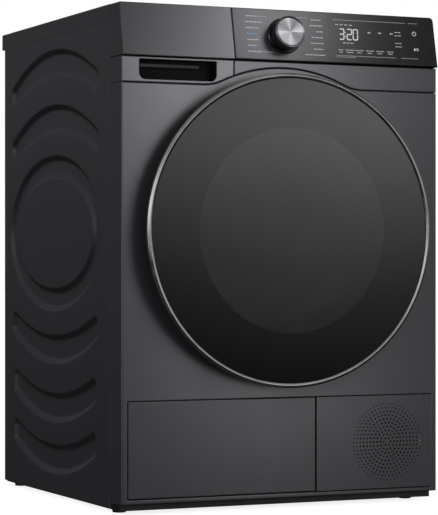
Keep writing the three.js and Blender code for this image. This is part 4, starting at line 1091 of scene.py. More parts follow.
class DRYER_OT_upper_strip(Builder, bpy.types.Operator):
    """Upper strip: the moulding between the console's lip and the door, right of the drawer"""

    bl_idname = "dryer.upper_strip"
    bl_label = "Upper strip"

    def execute(self, context):
        left = SPLIT_X + DRAWER_GAP
        outline = [(HALF, STRIP_TOP), (left, STRIP_TOP), *seam_between(left, HALF)]

        def back(point, u, v):
            deep = RETURN_Y if abs(u - HALF) < SNAP else FRONT_Y + WALL
            return (point[0], deep, point[2])

        shape = pan(Shape(), [outline], on_front, EDGE, back)
        seam_shade_web("strip_backing", HALF - SHADE_WEB_FAR, SEAM_Z - 10 * MM, "cabinet")
        strip = thicken(piece_from("upper_strip_skin", shape, closed=False), PLASTIC)
        finish_piece(flatten_shading(strip), "strip_plastic", "cabinet", "console_plastic", "upper_strip")
        return {"FINISHED"}


def seam_shade_web(name, x, foot, body):
    """A dark web inside the corner that closes the view through the seams under the console: a black sheet that
    stands in for the shade behind them.
    """
    web = Shape()
    web.box((x, FRONT_Y + 3 * MM, foot), (x + SHADE_WEB_THICK, RETURN_Y - MM, LIP_Z + 6 * MM))
    finish_piece(piece_from(name, web), "black_plastic", body, "black_plastic")


class DRYER_OT_console(Builder, bpy.types.Operator):
    """Console fascia: the sloping moulding, open behind, with a recess for the display window"""

    bl_idname = "dryer.console"
    bl_label = "Console fascia"

    def execute(self, context):
        corner = self.sizes.console_corner
        left = SPLIT_X + DRAWER_GAP
        outline = rounded([(left, 0, 0), (HALF, 0, 0), (HALF, SLANT, corner), (left, SLANT, 0)])
        recess = rectangle(WINDOW_X[0] - WINDOW_GAP, WINDOW_X[1] + WINDOW_GAP,
                           WINDOW_UP[0] - WINDOW_GAP, WINDOW_UP[1] + WINDOW_GAP, MM, -1)

        def back(point, u, v):
            if MM < v < SLANT - MM and left + MM < u < HALF - 4 * MM:
                return on_console(u, v, 2.4 * MM)
            return (point[0], RETURN_Y, point[2])

        shape = pan(Shape(), [outline, recess], on_console, (EDGE, WINDOW_EDGE), back)
        fascia = thicken(piece_from("console_fascia_skin", shape, closed=False), PLASTIC)
        flatten_shading(fascia)
        finish_piece(fascia, "console_plastic", "cabinet", "console_plastic", "console_fascia")
        pane = pan(
            Shape(),
            [rectangle(*WINDOW_X, *WINDOW_UP, 0.9 * MM)],
            on_console,
            WINDOW_EDGE,
            lambda point, u, v: on_console(u, v, 1.6 * MM),
            floor=True,
        )
        window = piece_from("display_window_pane", pane)
        finish_piece(flatten_shading(window), "console_plastic", "cabinet", "black_gloss", "display_window")
        return {"FINISHED"}


class DRYER_OT_drawer(Builder, bpy.types.Operator):
    """Drawer front: the left part of the console and of the strip, with the finger pocket"""

    bl_idname = "dryer.drawer"
    bl_label = "Drawer front"

    def execute(self, context):
        shape = Shape()
        face = rounded([(-HALF, 0, 0), (SPLIT_X, 0, 0), (SPLIT_X, SLANT, 0), (-HALF, SLANT, 3 * MM)])
        pan(shape, [face], on_console, EDGE, lambda point, u, v: (point[0], RETURN_Y, point[2]))
        outline = [(SPLIT_X, STRIP_TOP), (-HALF, STRIP_TOP), *seam_between(-HALF, SPLIT_X)]
        (x0, x1), (z0, z1) = POCKET_X, POCKET_Z
        pocket = rounded([(x0, z1, 2 * MM), (x1, z1, 2 * MM), (x1, z0, POCKET_R), (x0, z0, POCKET_R)], 10)
        # A rib in the finger pocket, lighter grey than the pocket: a painted highlight for the light band along
        # its ledge.
        rib = Shape()
        rib.box((x0 + 2 * MM, POCKET_RIB_Y, POCKET_RIB_Z[0]),
                (x1 - 28 * MM, FRONT_Y + POCKET_DEEP, POCKET_RIB_Z[1]))
        finish_piece(piece_from("pocket_rib", rib), "rib_plastic", "tank_drawer", "console_plastic")

        def back(point, u, v):
            if x0 - MM < u < x1 + MM and z0 - MM < v < z1 + MM:
                return on_front(u, v, POCKET_DEEP)
            deep = RETURN_Y if abs(u + HALF) < SNAP else FRONT_Y + WALL
            return (point[0], deep, point[2])

        pan(shape, [outline, pocket], on_front, (EDGE, 1.2 * MM), back, shut=(1,))
        web_x = SHADE_WEB_FAR - SHADE_WEB_THICK - HALF
        seam_shade_web("drawer_backing", web_x, SEAM_Z + 4 * MM, "tank_drawer")
        front = thicken(piece_from("drawer_front_skin", shape, closed=False), PLASTIC)
        flatten_shading(front)
        finish_piece(front, "strip_plastic", "tank_drawer", "console_plastic", "drawer_front")
        front.data.materials.append(FINISH["pocket_plastic"])
        front.data.materials.append(FINISH["console_plastic"])
        for face in front.data.polygons:
            x, y, z = face.center
            across = x0 - MM < x < x1 + MM
            # Faces above the lip take the console's moulding, with its painted shade towards the left end.
            if z > LIP_Z - MM:
                face.material_index = 2
            # Faces inside the finger pocket take the near-black finish, painted shade in the recess.
            elif across and z0 - MM < z < z1 + MM and y > FRONT_Y + EDGE:
                face.material_index = 1
        return {"FINISHED"}


class DRYER_OT_worktop(Builder, bpy.types.Operator):
    """Worktop: a flat cover with rounded edges that stands out behind the cabinet"""

    bl_idname = "dryer.worktop"
    bl_label = "Worktop"

    def execute(self, context):
        y0, y1 = WORKTOP_LOW.y, WORKTOP_HIGH.y
        outline = rounded([(-HALF, y0, 0), (HALF, y0, 0), (HALF, y1, 6 * MM), (-HALF, y1, 6 * MM)])
        foot = WORKTOP_LOW.z
        shape = pan(Shape(), [outline], on_top, 2.5 * MM, lambda point, u, v: (point[0], point[1], foot))
        top = thicken(piece_from("worktop_cover", shape, closed=False), 3 * MM)
        finish_piece(flatten_shading(top), "worktop_board", "cabinet", "worktop_board", "worktop")
        return {"FINISHED"}


class DRYER_OT_plinth(Builder, bpy.types.Operator):
    """Plinth: the maintenance flap and the panel with its round vent"""

    bl_idname = "dryer.plinth"
    bl_label = "Plinth"

    def execute(self, context):
        self.flap()
        self.grille()
        return {"FINISHED"}

    def flap(self):
        """The flap: a flat plate with two lugs that turn on its rod."""
        low, high = FLAP_LOW, FLAP_HIGH
        shape = pan(
            Shape(),
            [rectangle(low.x, high.x, low.z, high.z, 1.5 * MM)],
            on_front,
            1.2 * MM,
            lambda point, u, v: (point[0], FLAP_BACK, point[2]),
            floor=True,
        )
        flap = piece_from("flap_face", shape)
        lugs = Shape()
        for x in LUG_X:
            self.lug(lugs, x)
        hinge_lugs = piece_from("flap_lugs", lugs)
        finish_piece(flatten_shading(flap), "plinth_plastic", "flap", "plinth_plastic", "maintenance_flap")
        finish_piece(hinge_lugs, "black_plastic", "flap", "plinth_plastic")

    def lug(self, lugs, x):
        """An eye behind the flap that turns on its rod."""
        _, rod_y, rod_z = JOINT["flap_hinge"]["pos_m"]
        eye = ellipse((rod_y, rod_z), 2 * MM, 2 * MM, 24, -1)
        near, far = FRONT_Y + 2 * MM, rod_y + 4 * MM
        foot, head = rod_z - 4 * MM, rod_z + 8 * MM
        side = rounded([(near, foot, 0), (far, foot, 3.9 * MM), (far, head, 5 * MM), (near, head, 0)])

        def place(u, v, w):
            return (x + LUG_HALF - w, u, v)

        def back(point, u, v):
            return (x - LUG_HALF, u, v)

        pan(lugs, [side, eye], place, 0.6 * MM, back, floor=True)

    def grille(self):
        """The panel with the round vent."""
        low, high = GRILLE_LOW, GRILLE_HIGH
        sizes = self.sizes
        panel = perforated(
            "grille_panel_skin",
            rectangle(low.x, high.x, low.z, high.z, 1.5 * MM),
            {"Centre X": VENT[0], "Centre Y": VENT[1], "Pitch": sizes.vent_pitch,
             "Hole": sizes.vent_hole, "Rings": sizes.vent_rings, "First": 1,
             "Thickness": high.y - low.y, "Face": low.y},
            FINISH["plinth_plastic"],
        )
        finish_piece(panel, "plinth_plastic", "cabinet", "plinth_plastic", "grille_panel")


def perforated(name, outline, values, material):
    """A flat plate inside an outline, facing -Y, with rings of round holes."""
    count = len(outline)
    edges = [(i, (i + 1) % count) for i in range(count)]
    made = plain_object(name, [(u, v, 0) for u, v in outline], edges)
    tree = bpy.data.node_groups.get("perforated_plate") or perforated_plate()
    run_tree(made, tree, {**values, "Finish": material})
    smooth(made.data, 30)
    return made


def run_tree(piece, tree, values):
    """Sets a tree's inputs by their identifiers, then turns its result into plain mesh."""
    modifier = piece.modifiers.new("nodes", "NODES")
    modifier.node_group = tree
    for socket in tree.interface.items_tree:
        if socket.in_out == "INPUT" and socket.name in values:
            modifier[socket.identifier] = values[socket.name]
    return bake(piece)


def start_tree(name, inputs):
    """A geometry tree with named inputs; each is (name, kind, default)."""
    tree = bpy.data.node_groups.new(name, "GeometryNodeTree")
    tree.interface.new_socket("Geometry", in_out="INPUT", socket_type="NodeSocketGeometry")
    for label, kind, default in inputs:
        socket = tree.interface.new_socket(label, in_out="INPUT", socket_type="NodeSocket" + kind)
        if default is not None:
            socket.default_value = default
    tree.interface.new_socket("Geometry", in_out="OUTPUT", socket_type="NodeSocketGeometry")
    return tree, add(tree, "NodeGroupInput").outputs


def compute(tree, operation, first, second=None):
    """A math node on numbers or sockets; returns its result."""
    made = add(tree, "ShaderNodeMath", settings={"operation": operation})
    for place, value in enumerate((first, second)):
        if isinstance(value, bpy.types.NodeSocket):
            tree.links.new(value, made.inputs[place])
        elif value is not None:
            made.inputs[place].default_value = value
    return made.outputs["Value"]


def perforated_plate():
    """Fills an outline around rings of circles: ring k has six times k of them."""
    tree, given = start_tree("perforated_plate", [
        ("Centre X", "Float", 0.0), ("Centre Y", "Float", 0.0), ("Pitch", "Float", 6 * MM),
        ("Hole", "Float", 1.5 * MM), ("Rings", "Int", 10), ("First", "Int", 1),
        ("Thickness", "Float", 2 * MM), ("Face", "Float", 0.0), ("Finish", "Material", None),
    ])
    plus, minus = partial(compute, tree, "ADD"), partial(compute, tree, "SUBTRACT")
    times, over = partial(compute, tree, "MULTIPLY"), partial(compute, tree, "DIVIDE")
    rings = given["Rings"]
    total = times(times(rings, plus(rings, 1.0)), 3.0)
    line = add(tree, "GeometryNodeMeshLine", links={"Count": total})
    index = add(tree, "GeometryNodeInputIndex").outputs["Index"]
    root = compute(tree, "SQRT", plus(times(index, 12.0), 21.0))
    ring = compute(tree, "CEIL", over(minus(root, 3.001), 6.0))
    before = times(times(ring, minus(ring, 1.0)), 3.0)
    turn = over(minus(index, before), times(ring, 6.0))
    angle = times(turn, 2 * math.pi)
    reach = times(ring, given["Pitch"])
    across = plus(given["Centre X"], times(reach, compute(tree, "COSINE", angle)))
    up = plus(given["Centre Y"], times(reach, compute(tree, "SINE", angle)))
    spot = add(tree, "ShaderNodeCombineXYZ", links={"X": across, "Y": up}).outputs["Vector"]
    places = add(
        tree,
        "GeometryNodeSetPosition",
        links={"Geometry": line.outputs["Mesh"], "Position": spot},
    )
    # The holes are a little smaller towards the rim.
    rim = compute(tree, "POWER", over(ring, rings), 5.0)
    size = minus(1.0, times(rim, VENT_SHRINK))
    inner = compute(tree, "LESS_THAN", ring, given["First"])
    circle = add(
        tree,
        "GeometryNodeCurvePrimitiveCircle",
        inputs={"Resolution": HOLE_SIDES},
        links={"Radius": given["Hole"]},
    )
    kept = add(
        tree,
        "GeometryNodeDeleteGeometry",
        settings={"domain": "POINT"},
        links={"Geometry": places.outputs["Geometry"], "Selection": inner},
    )
    copies = add(
        tree,
        "GeometryNodeInstanceOnPoints",
        links={"Points": kept.outputs["Geometry"], "Instance": circle.outputs["Curve"], "Scale": size},
    )
    holes = add(tree, "GeometryNodeRealizeInstances", links={"Geometry": copies.outputs["Instances"]})
    edge = add(tree, "GeometryNodeMeshToCurve", links={"Mesh": given["Geometry"]})
    curves = add(tree, "GeometryNodeJoinGeometry", links={"Geometry": edge.outputs["Curve"]})
    tree.links.new(holes.outputs["Geometry"], curves.inputs["Geometry"])
    face = add(tree, "GeometryNodeFillCurve", links={"Curve": curves.outputs["Geometry"]})
    walls = add(
        tree,
        "GeometryNodeExtrudeMesh",
        inputs={"Individual": False, "Offset": (0, 0, -1)},
        links={"Mesh": face.outputs["Mesh"], "Offset Scale": given["Thickness"]},
    )
    both = add(tree, "GeometryNodeJoinGeometry", links={"Geometry": walls.outputs["Mesh"]})
    tree.links.new(face.outputs["Mesh"], both.inputs["Geometry"])
    merged = add(
        tree,
        "GeometryNodeMergeByDistance",
        inputs={"Distance": 1e-6},
        links={"Geometry": both.outputs["Geometry"]},
    )
    lift = add(tree, "ShaderNodeCombineXYZ", links={"Y": given["Face"]})
    stood = add(
        tree,
        "GeometryNodeTransform",
        inputs={"Rotation": (math.pi / 2, 0, 0)},
        links={"Geometry": merged.outputs["Geometry"], "Translation": lift.outputs["Vector"]},
    )
    finish_tree(tree, stood.outputs["Geometry"], given["Finish"])
    return tree


def finish_tree(tree, geometry, finish):
    """Ends a tree: real geometry, with its finish set."""
    real = add(tree, "GeometryNodeRealizeInstances", links={"Geometry": geometry})
    coated = add(
        tree,
        "GeometryNodeSetMaterial",
        links={"Geometry": real.outputs["Geometry"], "Material": finish},
    )
    add(tree, "NodeGroupOutput", links={"Geometry": coated.outputs["Geometry"]})


class DRYER_OT_door(Builder, bpy.types.Operator):
    """Door: smoked domed glass, chromed rim, black frame, clear inner bowl and its seal"""

    bl_idname = "dryer.door"
    bl_label = "Door"

    def execute(self, context):
        self.glass()
        ring = lathe("door_rim", front_profile(rounded(RIM_OUTLINE, 5)), segments=256)
        finish_piece(ring, "trim_chrome", "door", "trim_chrome", "door_trim_ring")
        bowl = lathe("door_bowl_glass", front_profile(rounded(BOWL_OUTLINE, 8)))
        finish_piece(bowl, "bowl_glass", "door", "door_glass", "door_bowl")
        lip = lathe("door_lip_seal", front_profile(rounded(LIP_SEAL_OUTLINE, 4)))
        finish_piece(lip, "seal_rubber", "cabinet", "seal_rubber", "door_seal")
        self.frame()
        return {"FINISHED"}

    def glass(self):
        """The domed pane; what lies beyond its see-through middle is printed black."""
        front = [GLASS_R * step / GLASS_STEPS for step in range(GLASS_STEPS + 1)]
        outer = [(r, GLASS_APEX + GLASS_DROP * (r / GLASS_R) ** GLASS_POWER) for r in front]
        inner = [(r, y + 4 - 1.4 * (r / GLASS_R) ** 2) for r, y in reversed(outer)]
        pane = lathe("door_glass_pane", front_profile(outer + inner), segments=256)
        finish_piece(pane, ("door_glass", "glass_print"), "door", "door_glass", "door_glass")
        for face in pane.data.polygons:
            x, y, z = face.center
            reach = math.hypot(x, z - AXIS_Z)
            if reach > SIGHT_R:
                face.material_index = 1

    def frame(self):
        """The frame behind the glass, cut open where the hinge's arms pass."""
        frame_ring = lathe("door_frame_shell", front_profile(rounded(DOOR_FRAME_OUTLINE, 5)), segments=256)
        spaces = []
        for sign in (-1, 1):
            edges = sorted((AXIS_Z + sign * 33 * MM, AXIS_Z + sign * 49 * MM))
            spaces.append(((HINGE.x - 5.5 * MM, FRONT_Y - 25 * MM, edges[0]),
                           (HINGE.x + 12 * MM, FRONT_Y + 2 * MM, edges[1])))
        cut_away(frame_ring, *spaces)
        finish_piece(frame_ring, "black_plastic", "door", "black_plastic", "door_frame")


def front_profile(points):
    """An outline of (radius, distance from the front panel's face) in mm, as metres in the frame."""
    return [(r * MM, FRONT_Y + y * MM) for r, y in points]


class DRYER_OT_knob(Builder, bpy.types.Operator):
    """Selector knob: a dark chromed skirt and a spun face, on a black ring"""

    bl_idname = "dryer.knob"
    bl_label = "Selector knob"

    def execute(self, context):
        cap_profile = self.profile(KNOB_OUTLINE)
        knob = lathe("selector_knob_cap", cap_profile, place=self.place, segments=160)
        finish_piece(knob, ("knob_side", "knob_aluminium"), "knob", "knob_aluminium", "selector_knob")
        out = FACE.to_3x3() @ Vector((0, 0, 1))
        for face in knob.data.polygons:
            if face.normal.dot(out) > 0.8 and (face.center - KNOB_CENTRE).dot(out) > 24 * MM:
                face.material_index = 1
        base = lathe("selector_ring", self.profile(KNOB_RING_OUTLINE), place=self.place, segments=160)
        finish_piece(base, "black_gloss", "cabinet", "trim_chrome", "knob_ring")
        return {"FINISHED"}

    def profile(self, corners):
        """An outline of (radius, height above the console's face) in mm, rounded and in metres."""
        return [(r * MM, out * MM) for r, out in rounded(corners, 5)]

    def place(self, x, out, z):
        """A point about the knob's line, which stands square to the console's face."""
        return on_console(KNOB_X + x, KNOB_UP + z, -out)


class DRYER_OT_drum(Builder, bpy.types.Operator):
    """Drum: rolled shell with beads, perforated rear wall, hub cap and three ribbed lifters"""

    bl_idname = "dryer.drum"
    bl_label = "Drum"

    def execute(self, context):
        sheet = self.sizes.sheet
        front, rear = DRUM_LOW.y, DRUM_HIGH.y - sheet
        heights = np.linspace(front + 5 * MM, rear - 0.1 * MM, DRUM_WALL_RINGS)
        beads = front + (rear - front) * np.array(DRUM_BEADS)
        sink = np.exp(-(((heights[:, None] - beads) / DRUM_BEAD_HALF) ** 2)).sum(axis=1) * DRUM_BEAD_DEPTH
        outer = [(DRUM_HIGH.x - s, y) for s, y in zip(sink, heights)]
        inner = [(r - sheet, y) for r, y in reversed(outer)]
        collar = [(DRUM_HIGH.x - 4 * MM, front + sheet), (DRUM_COLLAR, front + sheet), (DRUM_COLLAR, front),
                  (DRUM_HIGH.x - 4 * MM, front), (DRUM_HIGH.x - MM, front + 1.4 * MM)]
        wall = lathe("drum_wall", outer + inner + collar, segments=192)
        finish_piece(wall, "drum_steel", "drum", "drum_steel", "drum_shell")
        first, last = DRUM_HOLE_RINGS
        back = perforated(
            "drum_rear_wall",
            ellipse((0, AXIS_Z), DRUM_HIGH.x - 0.1 * MM, DRUM_HIGH.x - 0.1 * MM, 160),
            {"Centre Y": AXIS_Z, "Pitch": self.sizes.drum_pitch, "Hole": self.sizes.drum_hole,
             "Rings": last, "First": first, "Thickness": sheet, "Face": rear},
            FINISH["drum_steel"],
        )
        finish_piece(back, "drum_steel", "drum", "drum_steel")
        dome = [(r * MM, rear + y * MM) for r, y in rounded(HUB_CAP_OUTLINE, 8)]
        cap = lathe("drum_hub_cap", dome, segments=96)
        finish_piece(cap, "drum_steel", "drum", "drum_steel")
        for place in range(3):
            self.lifter(place)
        return {"FINISHED"}

    def lifter(self, place):
        """A ridge along the drum, ribbed across and sloping down at its ends."""
        node = f"drum_lifter_{place + 1}"
        low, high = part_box(node)
        turn = LIFTER_TURN + 2 * math.pi * place / 3
        inward = Vector((math.sin(turn), 0, math.cos(turn)))
        across = Vector((math.cos(turn), 0, -math.sin(turn)))
        foot = Vector((0, 0, AXIS_Z)) - inward * LIFTER_FOOT
        shape = Shape()
        rings = []
        for y in np.linspace(low.y, high.y, LIFTER_RINGS):
            near = min(1.0, (0.5 * MM + min(y - low.y, high.y - y)) / LIFTER_SLOPE)
            rise = LIFTER_TALL * (0.3 + 0.7 * near * near * (3 - 2 * near))
            rise += LIFTER_RIB * math.cos(2 * math.pi * (y - low.y) / LIFTER_RIB_PITCH) * near
            section = rounded([
                (-LIFTER_HALF_FOOT, 0, 0), (LIFTER_HALF_FOOT, 0, 0),
                (LIFTER_HALF_TOP, rise, LIFTER_CORNER), (-LIFTER_HALF_TOP, rise, LIFTER_CORNER),
            ], 6)
            rings.append(shape.ring(foot + across * u + inward * v + Vector((0, y, 0)) for u, v in section))
        for one, other in zip(rings, rings[1:]):
            shape.bridge(one, other)
        shape.faces.append(tuple(rings[0]))
        shape.faces.append(tuple(rings[-1]))
        finish_piece(piece_from(node + "_ridge", shape), "grey_plastic", "drum", "grey_plastic", node)


class DRYER_OT_bulkhead(Builder, bpy.types.Operator):
    """Front bulkhead: the loading tunnel, its plate, the lint filter's slot and the drum's felt seal"""

    bl_idname = "dryer.bulkhead"
    bl_label = "Front bulkhead"

    def execute(self, context):
        slot = ((FILTER_LOW.x - 1.4 * MM, FILTER_LOW.y - 1.4 * MM, FILTER_LOW.z - 0.6 * MM),
                (FILTER_HIGH.x + 1.4 * MM, FILTER_HIGH.y + 1.4 * MM, FILTER_HIGH.z + 32 * MM))
        tunnel = lathe("loading_tunnel", front_profile(rounded(TUNNEL_OUTLINE, 5)))
        finish_piece(cut_away(tunnel, slot), "grey_plastic", "cabinet", "grey_plastic", "front_bulkhead")
        self.plate(slot)
        self.housing(slot)
        for name in ("support_roller_left", "support_roller_right"):
            first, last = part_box(name)
            middle = ((first.x + last.x) / 2, (first.z + last.z) / 2)
            axle = lathe(name + "_axle", front_profile(rounded(AXLE_OUTLINE, 4)), middle, 32)
            finish_piece(axle, "zinc_steel", "cabinet", "grey_plastic")
        ring = lathe("felt_ring", front_profile(rounded(FELT_OUTLINE, 4)))
        finish_piece(ring, "felt", "cabinet", "felt", "felt_seal")
        return {"FINISHED"}

    def plate(self, slot):
        """The flat plate below and beside the tunnel."""
        low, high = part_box("front_bulkhead")
        top = BULKHEAD_TOP
        meet = math.asin((top - AXIS_Z) / BULKHEAD_R)
        outline = [(low.x, top), (low.x, low.z), (high.x, low.z), (high.x, top),
                   *arc((0, AXIS_Z), BULKHEAD_R, meet, -math.pi - meet, 120)]
        plate = pan(
            Shape(),
            [outline],
            lambda u, v, w: (u, BULKHEAD_NEAR + w, v),
            0.8 * MM,
            lambda point, u, v: (point[0], BULKHEAD_FAR, point[2]),
            floor=True,
        )
        sheet = cut_away(piece_from("bulkhead_plate", plate), slot)
        finish_piece(sheet, "grey_plastic", "cabinet", "grey_plastic")

    def housing(self, slot):
        """The box below the tunnel that holds the lint filter."""
        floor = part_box("front_bulkhead")[0].z
        near, far = slot
        box = Shape()
        box.box((near[0] - 3 * MM, near[1] - 2.6 * MM, floor),
                (far[0] + 3 * MM, far[1] + 3.6 * MM, FILTER_HOUSING_TOP))
        end = FRONT_Y + BORE_DEPTH
        bore = lathe("bore", [(0, FRONT_Y), (TUNNEL_R, FRONT_Y), (TUNNEL_R, end), (0, end)])
        housing = cut_away(subtract(piece_from("filter_housing", box), bore), slot)
        finish_piece(housing, "grey_plastic", "cabinet", "grey_plastic")


class DRYER_OT_rear(Builder, bpy.types.Operator):
    """Rear: the back sheet, the pressed duct cover and the screws that hold them"""

    bl_idname = "dryer.rear"
    bl_label = "Rear"

    def execute(self, context):
        face = REAR_HIGH.y
        sheet = pan(
            Shape(),
            [rectangle(REAR_LOW.x, REAR_HIGH.x, REAR_LOW.z, REAR_HIGH.z, 5 * MM), *self.pressings()],
            lambda u, v, w: (-u, face - w, v),
            0.4 * MM,
            lambda point, u, v: (point[0], REAR_LOW.y, point[2]),
            floor=True,
        )
        finish_piece(piece_from("rear_sheet", sheet), "zinc_steel", "cabinet", "zinc_steel", "rear_panel")
        profile = [(r * MM, DUCT_LOW.y + y * MM) for r, y in rounded(DUCT_OUTLINE, 6)]
        finish_piece(lathe("duct_cover", profile), "zinc_steel", "cabinet", "zinc_steel", "rear_duct_cover")
        self.screws()
        return {"FINISHED"}

    def pressings(self):
        """The duct's opening and two rows of louvre slots."""
        yield ellipse((0, AXIS_Z), DUCT_OPENING_R, DUCT_OPENING_R, 128, -1)
        for side in (-1, 1):
            left, right = side * LOUVRE_X - LOUVRE_HALF, side * LOUVRE_X + LOUVRE_HALF
            for row in range(LOUVRES):
                up = LOUVRE_FOOT + row * LOUVRE_PITCH
                yield rectangle(left, right, up, up + LOUVRE_TALL, 1.8 * MM, -1)

    def screws(self):
        """Screw heads along the sheet's edges and round the duct cover."""
        face = REAR_HIGH.y
        places = []
        for row in np.linspace(REAR_LOW.z + 25 * MM, REAR_HIGH.z - 12 * MM, SCREW_ROWS):
            places.extend((x, face, row) for x in (REAR_LOW.x + 14 * MM, REAR_HIGH.x - 14 * MM))
        reach = DUCT_HIGH.x + 9 * MM
        for spot in range(DUCT_SCREWS):
            angle = 2 * math.pi * (spot + 0.5) / DUCT_SCREWS
            places.append((reach * math.cos(angle), face, AXIS_Z + reach * math.sin(angle)))
        heads = plain_object("rear_screws", places)
        values = {"Radius": SCREW_R, "Height": SCREW_TALL, "Finish": FINISH["zinc_steel"]}
        run_tree(heads, screw_tree(), values)
        smooth(heads.data)
        finish_piece(heads, "zinc_steel", "cabinet", "zinc_steel")


def screw_tree():
    """Puts a hexagon-headed screw with a washer, facing +Y, on each point."""
    tree, given = start_tree("screws", [
        ("Radius", "Float", 3.5 * MM), ("Height", "Float", 1.8 * MM), ("Finish", "Material", None),
    ])
    washer_radius = compute(tree, "MULTIPLY", given["Radius"], 1.35)
    washer_height = compute(tree, "MULTIPLY", given["Height"], 0.35)
    head = add(tree, "GeometryNodeMeshCylinder", inputs={"Vertices": 6}, links={
        "Radius": given["Radius"], "Depth": given["Height"]})
    washer = add(tree, "GeometryNodeMeshCylinder", inputs={"Vertices": 32}, links={
        "Radius": washer_radius, "Depth": washer_height})
    lift = add(tree, "ShaderNodeCombineXYZ", links={"Z": compute(tree, "MULTIPLY", given["Height"], 0.6)})
    raised = add(tree, "GeometryNodeTransform", links={
        "Geometry": head.outputs["Mesh"], "Translation": lift.outputs["Vector"]})
    both = add(tree, "GeometryNodeJoinGeometry", links={"Geometry": raised.outputs["Geometry"]})
    tree.links.new(washer.outputs["Mesh"], both.inputs["Geometry"])
    facing = add(tree, "GeometryNodeTransform", inputs={"Rotation": (-math.pi / 2, 0, 0)}, links={
        "Geometry": both.outputs["Geometry"]})
    copies = add(tree, "GeometryNodeInstanceOnPoints", links={
        "Points": given["Geometry"], "Instance": facing.outputs["Geometry"]})
    finish_tree(tree, copies.outputs["Instances"], given["Finish"])
    return tree


class DRYER_OT_feet(Builder, bpy.types.Operator):
    """Levelling feet: a ribbed pad on a threaded stem, one at each corner"""

    bl_idname = "dryer.feet"
    bl_label = "Levelling feet"

    def execute(self, context):
        names = ("foot_front_left", "foot_front_right", "foot_rear_left", "foot_rear_right")
        for number, name in enumerate(names):
            low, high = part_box(name)
            middle = ((low.x + high.x) / 2, (low.y + high.y) / 2)
            place = partial(self.place, middle)
            foot = lathe(name + "_turned", self.profile(high.z), place=place, segments=64)
            finish_piece(foot, "black_plastic", f"foot_{number + 1}", "black_plastic", name)
        return {"FINISHED"}

    def place(self, middle, x, up, y):
        """A point of a foot whose line stands upright through its middle."""
        return (middle[0] + x, middle[1] + y, up)

    def profile(self, top):
        """Half the foot's outline: a pad with a groove, and a thread of rounded turns."""
        pad = rounded(FOOT_PAD_OUTLINE, 4, closed=False)
        end = top / MM - 0.2
        thread = []
        up = THREAD_FOOT
        while up < top / MM - 1.6:
            thread.extend([(4.4, up), (4.9, up + 0.4), (4.9, up + 0.7), (4.4, up + 1.1)])
            up += THREAD_PITCH
        return [(r * MM, z * MM) for r, z in [*pad, *thread, (4.2, end), (0, end)]]


class DRYER_OT_tank(Builder, bpy.types.Operator):
    """Water tank: a white tub with rounded corners, below its lid"""

    bl_idname = "dryer.tank"
    bl_label = "Water tank"

    def execute(self, context):
        low, high = TANK_LOW, TANK_HIGH
        outline = rectangle(low.x, high.x, low.y, high.y, 9 * MM, steps=8)
        tub = pan(
            Shape(),
            [outline[::-1]],
            lambda u, v, w: (u, v, low.z + w),
            3 * MM,
            lambda point, u, v: (point[0], point[1], high.z),
            steps=6,
        )
        tub = thicken(piece_from("tank_tub", tub, closed=False), PLASTIC)
        finish_piece(tub, "white_plastic", "tank_drawer", "white_plastic", "water_tank")
        return {"FINISHED"}


